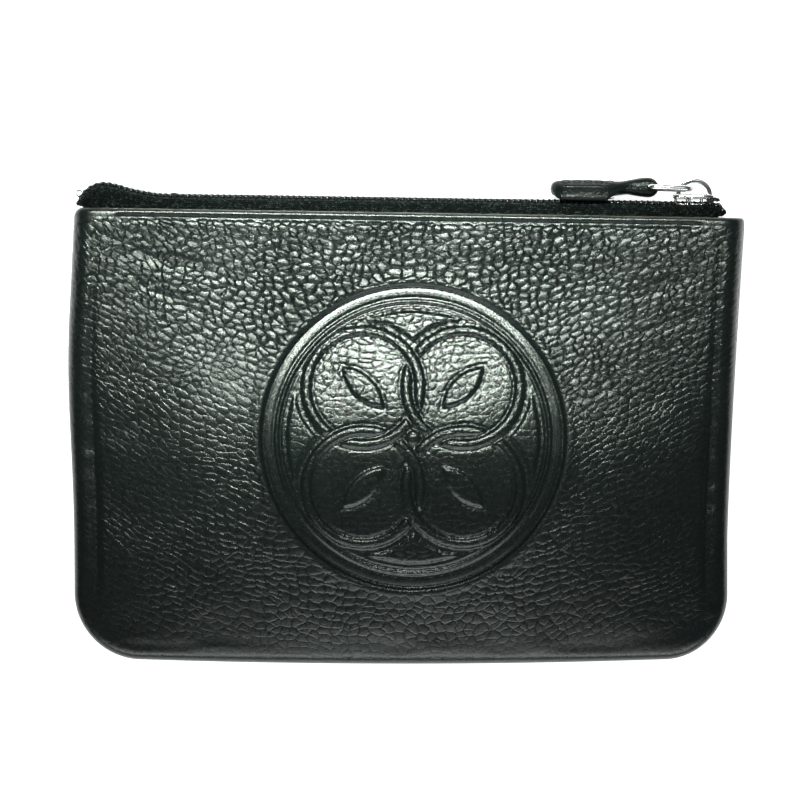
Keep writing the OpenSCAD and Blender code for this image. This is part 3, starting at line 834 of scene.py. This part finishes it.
def grain_share(x, y, side):
    """How far the pebbles stand out: less at the bottom, along the edges and on the medallion."""
    d, down = edge_distance(x, y), BODY_H - y
    share = 0.33 + 0.67 * smooth((y - 40) / 40)
    share = share * (1 - 0.3 * smooth((x - 10) / 50) - 0.24 * smooth((-x - 15) / 45))
    share = share * (0.36 + 0.64 * smooth((d - 2.5) / 4.5)) * smooth((down - 1.7) / 0.6)
    share = share * (0.85 + 0.3 * lattice_noise(x, y, 11, 21))
    if side == BACK:
        return 0.5 * share
    r = np.hypot(*medal_place(x, y))
    inside = (0.42 - 0.08 * smooth((y - 50) / 20)) * smooth((FIELD_R - r) / 0.6)
    return share * np.where(r < MEDAL_R + 0.4, inside, smooth((r - MEDAL_R - 0.4) / 1.5))


def graded(low, high, spacing):
    """Places from low to high, each a spacing on from the last."""
    places = [low]
    while places[-1] < high:
        places.append(places[-1] + spacing(places[-1]))
    places = np.array(places)
    return low + (places - low) * (high - low) / (places[-1] - low)


def panel_grid(fine, coarse):
    """Flat places of a panel's outer face, closer together at its edges and round the medallion."""

    def across(x):
        inside = fine if abs(x - MEDAL_X) < MEDAL_R + 2 else coarse
        return min(inside, 0.06 + 0.24 * math.sqrt(max(HALF_W - abs(x), 0)))

    def upward(y):
        inside = fine if abs(y - MOUTH_Y - MEDAL_Y) < MEDAL_R + 2 else coarse
        roll = 0.09 + 0.3 * math.sqrt(max(BODY_H - y, 0)) if y > BODY_H - 3 else inside
        return min(inside, 0.06 + 0.24 * math.sqrt(max(y, 0)), roll)

    xs, ys = graded(-HALF_W, HALF_W, across), graded(0, BODY_H, upward)
    return rounded(*np.meshgrid(xs, ys, indexing="ij"), HALF_W, CORNER_R)


def hem_rows(x, r, outer, inner, side):
    """Rows over the mouth's edge and down the inside of the hem, and how much of each is raw edge."""
    rows = [(np.zeros(len(x)), (outer + inner) / 2, RAW_SHARE)]
    for a in np.linspace(0, math.pi / 2, 5):
        rows.append((r * (1 - math.cos(a)), inner + r * (1 - math.sin(a)), RAW_SHARE))
    for depth in (1.5, 4.0, HEM_DEPTH - 0.4, HEM_DEPTH + 0.6):
        back = np.full(len(x), depth)
        rows.append((back, inner_height(x, BODY_H - back, side), 0.0))
    places = [placed(x, BODY_H - back, h, side) for back, h, _ in rows]
    return np.stack(places, 1), np.array([share for *_, share in rows])


def panel(side, fine, coarse):
    """A leather panel with its rolled edges, the hem turned in at the mouth and its inner face."""
    shape, flip = Shape(), side == BACK
    x, y = panel_grid(fine, coarse)
    n, m = x.shape
    outer, inner = outer_height(x, y, side), inner_height(x, y, side)
    thick = outer[:, -1] - inner[:, -1]
    r = np.minimum(MOUTH_ROUND, thick / 2)
    over = clamp01((y - BODY_H + r[:, None]) / r[:, None])
    drop = r[:, None] * (1 - np.sqrt(1 - over ** 2))
    lift = relief(x, y, side)
    if side == BACK:
        # nothing stands out of the back further than the floor it lies on
        tucked = np.minimum(outer + np.minimum(lift, 0), MOUTH_H - 0.02)
        points = placed(x, y, tucked - drop, side)
    else:
        points = placed(x, y, outer - drop + lift, side)
    # the top corners of the mouth are worn round, the left one more
    wear = np.where(x < 0, 2.0, 0.7)
    short = np.maximum(wear - (HALF_W - np.abs(x)), 0)
    worn = wear - np.sqrt(np.maximum(wear ** 2 - short ** 2, 0))
    points[..., 1] -= worn * smooth((y - BODY_H + 9) / 9)
    # the raw edge of the leather shows as a tan line, but not where both corners are sewn shut
    raw = smooth((2.4 - thick) / 0.5)[:, None]
    cut = smooth((over - 0.75) / 0.2) * 0.6 * raw
    shape.add(points, grid_faces(n, m, flip), flat=xyz(x, y, 0.0), grain=grain_share(x, y, side),
              gloss=medal_gloss(x, y, side), cut=cut)
    face = numbers(n, m)

    edge = x[:, -1]
    strip, turned = hem_rows(edge, r, outer[:, -1], inner[:, -1], side)
    strip[..., 1] -= worn[:, -1:]
    k = strip.shape[1]
    hem = numbers(n, k, shape.count)
    shape.add(strip, grid_faces(n, k, flip), cut=raw * turned,
              flat=xyz(edge[:, None], BODY_H + 1.0 + np.arange(k), 0.0))
    shape.join(zip(face[:-1, -1], hem[:-1, 0], hem[1:, 0], face[1:, -1]), flip=not flip)

    # the inner face is coarse
    across, up = np.linspace(-HALF_W, HALF_W, n // 5), np.linspace(0, BODY_H - HEM_DEPTH - 1, m // 5)
    x, y = rounded(*np.meshgrid(across, up, indexing="ij"), HALF_W, CORNER_R)
    inside = numbers(*x.shape, shape.count)
    shape.add(placed(x, y, inner_height(x, y, side), side), grid_faces(*x.shape, not flip),
              flat=xyz(x, y, 5.0))
    shape.join(bridge(hem[:, -1], inside[:, -1], flip=not flip))
    shape.join(bridge(face[:, 0], inside[:, 0], flip=flip))
    for i, turn in ((0, not flip), (-1, flip)):
        shape.join(bridge([*face[i], *hem[i]], [*inside[i], hem[i, -1]], flip=turn))
    return shape


def medal_gloss(x, y, side):
    if side == BACK:
        return np.zeros_like(x)
    return smooth((MEDAL_R + 0.3 - np.hypot(*medal_place(x, y))) / 0.6)


front_leather = panel(FRONT, 0.34, 0.52).make("front_leather")
add_grain(front_leather)
finish_piece(front_leather, "grained_leather", "front_panel")
open_with_front(front_leather)

back_leather = panel(BACK, 0.62, 0.62).make("back_leather")
finish_piece(back_leather, "grained_leather", "back_panel", body="back_wall")

# ---- lining ----


def lining_height(x, y, side, inward):
    room = inner_height(x, y, side) - 3 * LAYER_GAP - (TAPE_T + LAYER_GAP) * hem_share(y) - inward
    close = clamp01((edge_distance(x, y) - LINING_INSET - inward + 0.1) / 2.0)
    return room * np.sqrt(1 - (1 - close) ** 2)


def lining(side):
    """Half of the lining bag: one cut of cloth, slack enough to wrinkle."""
    shape = Shape()
    n, m = 150, 104
    u, v = np.meshgrid(np.linspace(-1, 1, n), np.linspace(0, 1, m), indexing="ij")
    rims = []
    for inward in (0.0, LINING_T):
        inset = LINING_INSET + inward
        w = HALF_W - inset
        x, y = rounded(u * w, v * (BODY_H - inset - LINING_DROP), w, CORNER_R - inset)
        y = y + inset
        height = lining_height(x, y, side, inward)
        slack = smooth((edge_distance(x, y) - LINING_INSET) / 8) * smooth((HEM_LINE - y) / 10)
        wrinkle = lattice_noise(x * 0.5, y, 6, 31 + side) + 0.5 * lattice_noise(x, y * 0.6, 3.2, 47 + side)
        height = height - slack * clamp01(height / 3) * 0.32 * (1.5 + wrinkle)
        first = shape.count
        outward = (inward == 0.0) == (side == FRONT)
        shape.add(placed(x, y, height, side), grid_faces(n, m, not outward), flat=xyz(x, y, 0.0))
        grid = numbers(n, m, first)
        rims.append(np.concatenate([grid[:-1, 0], grid[-1, :-1], grid[:0:-1, -1], grid[0, :0:-1]]))
    outer, inner = rims
    shape.join(zip(outer, np.roll(outer, -1), np.roll(inner, -1), inner), flip=side == FRONT)
    return shape


for side, name in SIDES:
    cloth = finish_piece(lining(side).make(name + "_lining_cloth"), "lining_cloth", name + "_lining")
    move_with(cloth, side)

# ---- zip ----

# The chain's path as [x, rise above the tape's line]: a slack hump on the left, a turn down on the right
CHAIN_PATH = [
    [-65.5, -1.6], [-65.3, -0.9], [-64.6, 0.3], [-63.2, 1.5], [-61.2, 2.1], [-58.5, 1.7], [-56, 1],
    [-52, 0.3], [-48, 0], [-30, 0], [0, 0], [30, 0], [56.6, 0], [58.6, 0], [60.6, -0.05],
    [61.6, -0.4], [62, -1], [62.1, -1.6],
]
COIL_W, COIL_H = 2.1, 1.3
COIL_PITCH = 1.16
FILAMENT_R = 0.29
# Where the tape's foot leaves the hem for the corners, and the step over which the path's way is taken
CORNER_X, RUN_STEP = 58.0, 0.4
THREAD_TWIST, CORD_TWIST = 0.9, 1.8


def chain_line(x):
    return mouth_edge(x) + TAPE_SHOW


chain_curve = smooth_curve([[x, chain_line(x) + rise] for x, rise in CHAIN_PATH], 16)
chain_length = np.concatenate([[0], np.cumsum(np.linalg.norm(np.diff(chain_curve, axis=0), axis=1))])


def chain_at(s):
    """At length s along the chain's path: the place, the way out of the mouth and the way along."""
    s = np.asarray(s, float)
    at = lambda q: np.stack([np.interp(q, chain_length, chain_curve[:, k]) for k in (0, 1)], -1)
    run = unit(at(s + RUN_STEP) - at(s - RUN_STEP))
    return at(s), np.stack([-run[..., 1], run[..., 0]], -1), run


def half_gap(x):
    return 0.1 + 1.0 * smooth((x - 58.6) / 2.4)


def zip_place(s, out, away, side):
    """A place at length s, out along the normal and away from the middle plane on one side."""
    at, normal, _ = chain_at(s)
    xy = at + np.asarray(out)[..., None] * normal
    return xyz(xy[..., 0], xy[..., 1], SEAM_Z + side * (half_gap(at[..., 0]) + away))


TAIL_S = float(np.interp(TAIL_X, chain_curve[:, 0], chain_length))
SPANS = {"tail": (0.0, TAIL_S), "run": (TAIL_S, float(chain_length[-1]))}


def winding(s, side):
    """Angle of the coil's turns at length s. The two halves mesh, half a turn apart."""
    return TAU * s / COIL_PITCH + (0 if side == FRONT else math.pi)


def coil(side, span):
    """One half's coil: a round filament wound in flat turns, with its heads past the middle plane."""
    shape = Shape()
    low, high = SPANS[span]
    per_turn = 14
    first, last = (round(end / COIL_PITCH * per_turn) for end in (low, high))
    s = np.arange(first, last) * COIL_PITCH / per_turn
    angle = winding(s, side)
    flat_cos = np.sign(np.cos(angle)) * np.abs(np.cos(angle)) ** 0.75
    out = COIL_H / 2 - 0.04 + (COIL_H / 2 - FILAMENT_R + 0.04) * np.sin(angle)
    reach = COIL_W / 2 - FILAMENT_R + 0.1
    away = COIL_W / 2 - 0.15 + reach * flat_cos
    path = zip_place(s, out, away, side)
    shape.add(*sweep(path, circle(FILAMENT_R, 8), xyz(*chain_at(s)[2].T, 0.0)))
    if span == "tail" and side == FRONT:
        # the cut end of the filament springs out in a small loop
        at = chain_at(0.9)[0]
        a = np.linspace(-0.3, 1.15, 22) * math.pi
        loop = xyz(at[0] - 0.75 + 0.5 * np.cos(a + 1.2), at[1] + 1.6 + 0.62 * np.sin(a + 1.2),
                   SEAM_Z + 1.4 + 0.12 * a)
        shape.add(*sweep(loop, circle(0.13, 8), (0, 0, 1)))
    return shape


def core(side, span):
    """The twisted cord inside the coil."""
    s = np.arange(*SPANS[span], 0.3)
    path = zip_place(s, COIL_H / 2, 0.93, side)
    return Shape().add(*twisted(path, 0.38, CORD_TWIST, (0, 0, 1), sides=10))


def coil_thread(side, span):
    """Sewing thread that holds the coil down: over every turn, and down between the turns."""
    shape = Shape()
    low, high = SPANS[span]
    for away in (0.75, 1.45):
        s = np.arange(low, high, COIL_PITCH / 8)
        out = COIL_H - 0.3 + 0.14 * np.sin(winding(s, side))
        shape.add(*twisted(zip_place(s, out, away, side), 0.1, THREAD_TWIST, (0, 0, 1), sides=6))
    return shape


def tape_root(x):
    """Where the tape's lower edge lies: deep in the hem, but on the leather at both corners."""
    corner = smooth((np.abs(x) - CORNER_X + 2) / 2.5)
    deep = np.stack([x, mouth_edge(x) - HEM_DEPTH + 1.5], -1)
    shallow = np.stack([x * 0.985, mouth_edge(x) - 1.2], -1)
    return deep + corner[..., None] * (shallow - deep)


# The tape rises beside the coil to this height, and bends over with this radius
TAPE_LIP, TAPE_BEND = 0.25, 0.7
# The knit in relief: loops along and down the tape, and ribs, as pitches and heights
KNIT_ALONG, KNIT_DOWN, KNIT_H = 0.66, 0.8, 0.05
RIB_PITCH, RIB_H = 0.4, 0.03


def tape(side, span):
    """Knitted tape: under the coil, round a soft bend and down inside the hem, with its loops raised."""
    low, high = SPANS[span]
    steps = max(2, int((high - low) / 0.22))
    s = np.linspace(low, high, steps)
    at, normal, _ = chain_at(s)
    root = tape_root(at[:, 0])
    end_share = clamp01((np.abs(at[:, 0]) - 60) / 5)
    z = TAPE_Z * (1 - 0.2 * end_share)
    gap = half_gap(at[:, 0])
    angles = np.linspace(0, math.pi / 2, 7)
    rings = {}
    for face, t in (("outside", 0.0), ("inside", TAPE_T)):
        bend_r = TAPE_BEND - t
        top, turn = TAPE_LIP - TAPE_BEND, z + TAPE_T / 2 - TAPE_BEND
        line = [(-0.02 - t, gap + (COIL_W - gap) * k) for k in (0, 0.5, 1)]
        line += [(top + bend_r * math.cos(a), turn + bend_r * math.sin(a)) for a in angles]
        cols = [xyz(*(at + out * normal).T, away) for out, away in line]
        last = cols[-1]
        foot = xyz(*root.T, z + TAPE_T / 2 - t)
        shares = [0.05, 0.1, 0.15, 0.2, 0.25, 0.3, 0.36, 0.44, 0.6, 1.0]
        cols += [last + k * (foot - last) for k in shares]
        rings[face] = np.stack(cols, 1)
    outside, inside = rings["outside"], rings["inside"]
    cols = outside.shape[1]
    along = np.repeat(s[:, None], cols, 1)
    lengths = np.linalg.norm(np.diff(outside, axis=1), axis=2)
    down = np.concatenate([np.zeros((steps, 1)), np.cumsum(lengths, 1)], 1)
    shift = math.pi * np.floor(along / KNIT_ALONG)
    knit = KNIT_H * np.sin(TAU * along / KNIT_ALONG) * np.sin(TAU * down / KNIT_DOWN + shift)
    ribs = RIB_H * np.sin(TAU * down / RIB_PITCH) + 0.035 * lattice_noise(along, down, 0.5, 77)
    normal_out = unit(np.cross(np.gradient(outside, axis=0), np.gradient(outside, axis=1)))
    normal_out *= np.sign((normal_out[:, -3:, 2]).mean())
    outside = outside + (knit + ribs)[..., None] * normal_out
    loop = np.concatenate([outside, inside[:, ::-1]], 1)
    loop[..., 2] = SEAM_Z + side * loop[..., 2]
    k = loop.shape[1]
    faces = tube_faces(steps, k)
    if side == FRONT:
        faces = [f[::-1] for f in faces]
    flat = np.zeros((steps, k, 3))
    flat[..., 0] = s[:, None]
    flat[:, :cols, 1], flat[:, cols:, 1] = down, down[:, ::-1]
    return Shape().add(loop, faces, flat=flat)


ZIP_PARTS = (
    (tape, "zip_tape", "zip_tape"), (coil, "zip_coil", "nylon_coil"), (core, "coil_core", "core_cord"),
    (coil_thread, "coil_thread", "sewing_thread"),
)
for side, name in SIDES:
    for build, node, slot in ZIP_PARTS:
        for span in SPANS:
            piece = build(side, span).make(f"{name}_{node}_{span}")
            finish_piece(piece, slot, f"{name}_{node}")
            if span == "tail":
                press_tail(piece)
            else:
                move_with(piece, side)

# ---- stitches ----


def stitch_arch(shape, a, b, up, lift, dip, radius):
    """One stitch: thread that rises out of the material at a, lies along it and dives in at b."""
    t = np.linspace(0, 1, 13)
    rise = lift * np.sin(math.pi * t) ** 0.45 - dip * (1 - np.sin(math.pi * t) ** 0.6)
    path = a + (b - a) * t[:, None] + np.asarray(up, float) * rise[:, None]
    way = np.cross(b - a, up)
    shape.add(*twisted(path, radius, THREAD_TWIST, unit(way)))


def mouth_stitches(side):
    shape = Shape()
    for x in np.arange(-STITCH_REACH, STITCH_REACH + 0.1, STITCH_PITCH):
        ends = []
        for end in (-STITCH_L / 2, STITCH_L / 2):
            at, y = np.array([x + end]), np.array([BODY_H - STITCH_Y])
            h = outer_height(at, y, side) + np.minimum(relief(at, y, side), 0)
            ends.append(placed(at, y, h, side)[0])
        stitch_arch(shape, *ends, (0, 0, side), MOUTH_RISE[side], MOUTH_DIP, STITCH_R)
    return shape


# Where the sewn U ends below the mouth, and how much of a seam is stitch and not gap
SEAM_TOP_GAP, STITCH_SHARE = 4.0, 0.7
# Seams inside the purse as name, distance from the edge and number of stitches
INNER_SEAMS = (("edge_seam", 1.3, 90), ("lining_seam", LINING_INSET + 0.8, 80))


def seam_place(t, d):
    """A place along the sewn U, t from 0 at the mouth on the left to 1 at the mouth on the right."""
    r, upright = CORNER_R - d, BODY_H - CORNER_R - SEAM_TOP_GAP
    arc, along = math.pi * r / 2, BODY_W - 2 * CORNER_R
    if t > 0.5:
        # the right half mirrors the left one
        x, y = seam_place(1 - t, d)
        return -x, y
    s = t * (2 * upright + 2 * arc + along)
    if s < upright:
        return -HALF_W + d, BODY_H - SEAM_TOP_GAP - s
    if s < upright + arc:
        a = math.pi + (s - upright) / r
        return -HALF_W + CORNER_R + r * math.cos(a), CORNER_R + r * math.sin(a)
    return -HALF_W + CORNER_R + s - upright - arc, d


def seam_stitches(d, count):
    shape = Shape()
    for k in range(count):
        ends = []
        for share in ((1 - STITCH_SHARE) / 2, (1 + STITCH_SHARE) / 2):
            x, y = (np.array([v]) for v in seam_place((k + share) / count, d))
            ends.append(xyz(*plan(x, y), SEAM_Z)[0])
        stitch_arch(shape, *ends, (0, 0, 1), *INNER_THREAD)
    return shape


for side, name in SIDES:
    piece = mouth_stitches(side).make(name + "_mouth_thread")
    finish_piece(piece, "sewing_thread", name + "_mouth_stitches")
    move_with(piece, side)
for name, d, count in INNER_SEAMS:
    piece = seam_stitches(d, count).make(name + "_thread")
    finish_piece(piece, "sewing_thread", name + "_stitches", body="back_wall")


def bartack(shape, middle, reach, along, up, spread, turns, radius):
    """A bar of thread: turns side by side over the reach, which spread along the zip."""
    reach, along, up = (np.asarray(v, float) for v in (reach, along, up))
    t = np.linspace(0, turns, turns * 12)
    swing = np.cos(math.pi * t * 2)
    path = (np.asarray(middle) + reach * swing[:, None] + along * (spread * (t / turns - 0.5))[:, None]
            + up * (0.16 * np.sin(TAU * t) - 0.3 * np.abs(swing) ** 6)[:, None])
    shape.add(*sweep(path, circle(radius, 6), along))


low, high = node_box("zip_left_bartack")
left_bar = Shape()
for z in (low[2] + 0.24, high[2] - 0.24):
    middle = ((low[0] + high[0]) / 2, (low[1] + high[1]) / 2, z)
    outward = (0, 0, 1 if z > SEAM_Z else -1)
    bartack(left_bar, middle, (0, (high[1] - low[1]) / 2 - 0.1, 0), (1, 0, 0), outward, 0.8, 6, 0.1)
finish_piece(left_bar.make("left_bartack_thread"), "sewing_thread", "zip_left_bartack", body="back_wall")

low, high = node_box("zip_right_bartack")
right_bar = Shape()
bartack(right_bar, (low + high) / 2, (0, 0, (high[2] - low[2]) / 2 - 0.15), (0.96, -0.28, 0), (0.28, 0.96, 0),
        1.0, 7, 0.12)
finish_piece(right_bar.make("right_bartack_thread"), "sewing_thread", "zip_right_bartack", body="back_wall")

# ---- slider ----

SLIDER_X = node_box("slider_body")[0][0]
TILT = math.atan(SLOPE)
WING_LOW, WING_HIGH = (-TAPE_T - 1.0, -TAPE_T - 0.2), (COIL_H + 0.35, COIL_H + 1.2)


def at_slider(points):
    """From the slider's own frame, X along the chain, Y out of the mouth and Z across, to the purse's."""
    return leaned(points, -TILT) + (SLIDER_X, chain_line(SLIDER_X), SEAM_Z)


def wing_outline():
    """Plan of a wing: a blunt rounded nose on the left, and two shoulders on the right."""
    half = smooth_curve([
        [0, 0], [0.05, -1.3], [0.45, -2.25], [1.3, -2.62], [3.2, -2.7], [5.6, -2.85], [7.2, -2.8],
        [8.15, -2.3], [8.5, -1.5], [8.3, -0.7], [8.2, 0],
    ], 10)
    return np.vstack([half, half[1:-1][::-1] * [1, -1]])


def slab(outline, low, high, edge):
    """A plate between two heights along Y, with its edges rounded. The outline is in X and Z."""
    after, before = np.roll(outline, -1, 0), np.roll(outline, 1, 0)
    run = unit(after - before)
    inward = np.stack([-run[:, 1], run[:, 0]], 1)
    if np.cross(outline, after).sum() < 0:
        inward = -inward
    turn = np.linspace(0, math.pi / 2, 4)
    rings = [(edge * (1 - math.sin(a)), low + edge * (1 - math.cos(a))) for a in turn]
    rings += [(edge * (1 - math.cos(a)), high - edge * (1 - math.sin(a))) for a in turn]
    points = []
    for inset, y in rings:
        ring = outline + inward * inset
        points.append(xyz(ring[:, 0], y, ring[:, 1]))
    n, k = len(outline), len(rings)
    faces = [[i * n + j, (i + 1) * n + j, (i + 1) * n + (j + 1) % n, i * n + (j + 1) % n]
             for i in range(k - 1) for j in range(n)]
    ends = [list(range(n)), [(k - 1) * n + j for j in range(n)][::-1]]
    return np.vstack(points), faces + ends


LUG_X, LUG_Y, LUG_Z, LUG_L, LUG_H = (1.9, 4.75), 1.13, 2.52, 2.35, 1.3
LUG_SECTION = rounded_box(0.42, 0.3, 0.12)
# Where the bail's two feet stand
FOOT_X = (1.15, 7.4)


def slider_body():
    shape = Shape(at_slider)
    for low, high in (WING_LOW, WING_HIGH):
        shape.add(*slab(wing_outline(), low, high, 0.3))
    # two open lugs turned down along both sides, which hold the coils in
    for z in (-1, 1):
        for x in LUG_X:
            ring = rounded_box(LUG_L, LUG_H, 0.3, 6) + [x, LUG_Y]
            shape.add(*sweep(xyz(*ring.T, z * LUG_Z), LUG_SECTION, (0, 0, 1), closed=True))
    # the wedge between the wings, which parts the two coils
    wedge = smooth_curve([
        [6.9, 0], [7.5, 0.26], [8.2, 0.42], [8.45, 0], [8.2, -0.42], [7.5, -0.26], [6.9, 0],
    ], 4)
    shape.add(*slab(wedge[:-1], WING_LOW[1] - 0.1, WING_HIGH[0] + 0.1, 0.05))
    # the base under the bail's two feet
    for x in FOOT_X:
        foot = rounded_box(1.5, 2.5, 0.4) + [x, 0]
        shape.add(*slab(foot, WING_HIGH[1] - 0.2, WING_HIGH[1] + 0.22, 0.12))
    return shape


BAIL_X, BAIL_R, BAIL_T, BAIL_W = 4.4, 3.6, 0.85, 2.4


def slider_bail():
    """The bridge over the slider that the loop hangs in: a flat strap bent in an arch."""
    base = WING_HIGH[1] - 0.35
    r = BAIL_R - BAIL_T / 2
    angles = np.linspace(math.radians(184), math.radians(-4), 40)
    path = xyz(BAIL_X + r * np.cos(angles), base + 0.35 + (r - 0.35) * np.sin(angles), 0.0)
    swell = 1 + 0.12 * np.sin(np.linspace(0, math.pi, len(path)))
    section = rounded_box(BAIL_W, BAIL_T, 0.28, 5)
    return Shape(at_slider).add(*sweep(path, section, (0, 0, 1), scale=swell))


finish_piece(slider_body().make("zip_slider"), "plated_metal", "slider_body", body="slider")
finish_piece(slider_bail().make("zip_slider_bail"), "plated_metal", "slider_bail", body="slider")

# ---- pull ----

WIRE_R, LOOP_L, LOOP_W, LOOP_CORNER = 0.55, 8.3, 6.3, 1.3


def pull_loop():
    """Wire bent to a long loop."""
    flat = rounded_box(LOOP_L, LOOP_W, LOOP_CORNER, 8)
    path = xyz(flat[:, 0], 0.0, flat[:, 1])
    middle, lean = (LOOP_AXIS + TAB_AXIS) / 2, LOOP_AXIS - TAB_AXIS
    points, faces = sweep(path, circle(WIRE_R, 14), (0, 1, 0), closed=True)
    return Shape().add(leaned(points, math.atan2(lean[1], lean[0])) + middle, faces)


TAB_L, TAB_W = 19.6, 8.0
# Side view of the folded strip as [x, top, bottom], from its free end to the fold round the bar
TAB_SIDE = [
    [-19.6, -0.2, -0.9], [-19.4, 0.45, -1.5], [-18.8, 0.95, -1.85], [-17.4, 1.2, -2.0], [-14, 1.35, -2.02],
    [-10, 1.32, -2.0], [-7.4, 1.18, -1.86], [-5.4, 1.2, -1.62], [-3.6, 1.55, -1.55], [-1.8, 1.9, -1.8],
    [0, 2.02, -1.98], [1.1, 1.68, -1.66], [1.75, 1.0, -1.0], [2.0, 0.3, -0.3],
]
# Plan of the strip as [x, half width]
TAB_PLAN = [
    [-19.6, 1.5], [-19.3, 2.4], [-18.6, 3.2], [-17.4, 3.8], [-15, 4.0], [-10, 4.0], [-8.2, 3.85],
    [-6.4, 3.2], [-4.6, 2.4], [-3.4, 2.16], [0, 2.15], [1.1, 2.12], [1.75, 2.0], [2.0, 1.8],
]
# How square the strip's section is across and through it, and how far its near side sags
TAB_SQUARE_W, TAB_SQUARE_T, TAB_SAG = 0.74, 0.78, 1.5
TAB_POINTS = 56


def at_tab(points):
    return leaned(points, -TILT) + (TAB_AXIS[0], TAB_AXIS[1], SEAM_Z)


def tab_leather_strip():
    """The pull's leather: one strip folded round the loop's bar and sewn, fuller along its near side."""
    outline = smooth_curve(TAB_SIDE, 8)
    half = np.interp(outline[:, 0], [p[0] for p in TAB_PLAN], [p[1] for p in TAB_PLAN])
    angle = np.arange(TAB_POINTS) * TAU / TAB_POINTS
    power = lambda v, e: np.sign(v) * np.abs(v) ** e
    rings = []
    for (x, top, bottom), w in zip(outline, half):
        middle, thick = (top + bottom) / 2, (top - bottom) / 2
        z = w * power(np.cos(angle), TAB_SQUARE_W)
        y = middle + thick * power(np.sin(angle), TAB_SQUARE_T)
        # the two layers part at a fine line along their sewn edges
        line = sum(bell((angle - side) / 0.09) for side in (0, math.pi, TAU))
        body = smooth((-2.5 - x) / 2) * smooth((x + TAB_L) / 0.6)
        z = z * (1 - 0.07 * line * body)
        sag = TAB_SAG * smooth((z - 2.1) / 1.3) * smooth((-5.0 - x) / 4)
        y = y - sag * np.where(y < middle, 1.0, 0.25)
        wrinkle = lattice_noise(x, y * 0.6 + z * 0.5, 1.3, 15)
        near_neck = bell((x + 4.4) / 2.6) * 0.13 + 0.03
        y = y + near_neck * wrinkle * np.sin(angle)
        z = z + near_neck * 0.8 * wrinkle * np.cos(angle)
        rings.append(xyz(x, y, z))
    return Shape(at_tab).add(rings, tube_faces(len(rings), TAB_POINTS))


# Heights of the strip's faces where it is sewn, and how much lower the under one is along the near side
TAB_TOP, TAB_UNDER, TAB_NEAR_SAG = 1.1, -1.72, 0.76
TAB_STITCH_PITCH, TAB_STITCH_L = 2.2, 1.6


def tab_stitches():
    shape = Shape(at_tab)
    for z in (-1, 1):
        for x in np.arange(-TAB_L + 3, -7, TAB_STITCH_PITCH):
            for top, y in ((1, TAB_TOP), (-1, TAB_UNDER - (TAB_NEAR_SAG if z > 0 else 0))):
                ends = [np.array([x + end * TAB_STITCH_L, y, z * (TAB_W / 2 - 1.2)]) for end in (-0.5, 0.5)]
                stitch_arch(shape, *ends, (0, top, 0), *TAB_THREAD)
    return shape


finish_piece(pull_loop().make("pull_wire_loop"), "plated_metal", "pull_loop", body="pull_loop")
finish_piece(tab_leather_strip().make("pull_tab"), "tab_leather", "pull_tab_leather", body="pull_tab")
finish_piece(tab_stitches().make("pull_tab_thread"), "sewing_thread", "pull_tab_stitches", body="pull_tab")
finish_piece(frame["nodes"]["pull_tab_filler"], "filler_board")

# ---- floor, light and camera ----

FLOOR_HALF = 1500.0
floor_shape = Shape()
floor_shape.add([[sx * FLOOR_HALF, sy * FLOOR_HALF, 0] for sx, sy in ((-1, -1), (1, -1), (1, 1), (-1, 1))],
                [[0, 1, 2, 3]])
floor = floor_shape.make("floor")
floor.data.materials.append(pale_floor())
floor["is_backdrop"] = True


def area_light(name, place, target, width, height, power, colour, spread):
    lamp = bpy.data.lights.new(name, "AREA")
    lamp.spread = spread
    lamp.shape, lamp.size, lamp.size_y = "RECTANGLE", width, height
    lamp.energy, lamp.color = power, colour
    holder = bpy.data.objects.new(name, lamp)
    holder.location = place
    # -Z points along the aim, with Y kept upward
    x, y, z = np.array(target, float) - np.array(place, float)
    holder.rotation_euler = (math.atan2(math.hypot(x, y), -z), 0.0, math.atan2(y, x) - math.pi / 2)
    bpy.context.scene.collection.objects.link(holder)


# Lights as name, place, target, width, height, watts, colour and how far the beam spreads
LIGHTS = [
    ("key_softbox", (-0.02, 0.195, 0.36), (-0.008, 0.050, 0), 0.12, 0.09, 0.086, (0.88, 1.0, 0.89),
     math.radians(17.5)),
    ("low_fill", (0.0, -0.62, 0.42), (0, -0.05, 0), 1.0, 0.2, 2.9, (0.92, 1.0, 0.98), math.pi),
    ("bottom_sheen", (0.0, -0.21, 0.27), (0, -0.048, 0.01), 0.5, 0.06, 0.007, (0.94, 1.0, 0.98),
     math.radians(30)),
]
for light in LIGHTS:
    area_light(*light)

SKY_COLOUR, SKY_STRENGTH = (0.93, 0.97, 1.0, 1.0), 0.085
world = bpy.data.worlds.new("studio")
world.use_nodes = True
sky = world.node_tree.nodes["Background"].inputs
sky["Color"].default_value, sky["Strength"].default_value = SKY_COLOUR, SKY_STRENGTH
bpy.context.scene.world = world
bpy.context.scene.view_settings.view_transform = "Standard"

# The view is straight down on the front, through a long lens
VIEW_W = 160.0 * MM
VIEW_CENTRE = (-1.9 * MM, 7.7 * MM)
CAMERA_Z = 0.86
FRONT_Z = 0.006
lens = bpy.data.cameras.new("camera")
lens.sensor_width = 36.0
lens.lens = lens.sensor_width * (CAMERA_Z - FRONT_Z) / VIEW_W
lens.clip_start, lens.clip_end = 0.01, 20.0
camera = bpy.data.objects.new("camera", lens)
camera.location = (*VIEW_CENTRE, CAMERA_Z)
bpy.context.scene.collection.objects.link(camera)
bpy.context.scene.camera = camera

as_lists = lambda box: [list(corner) for corner in box]
{"cad": as_lists(cad_box), "visual": as_lists(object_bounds())}
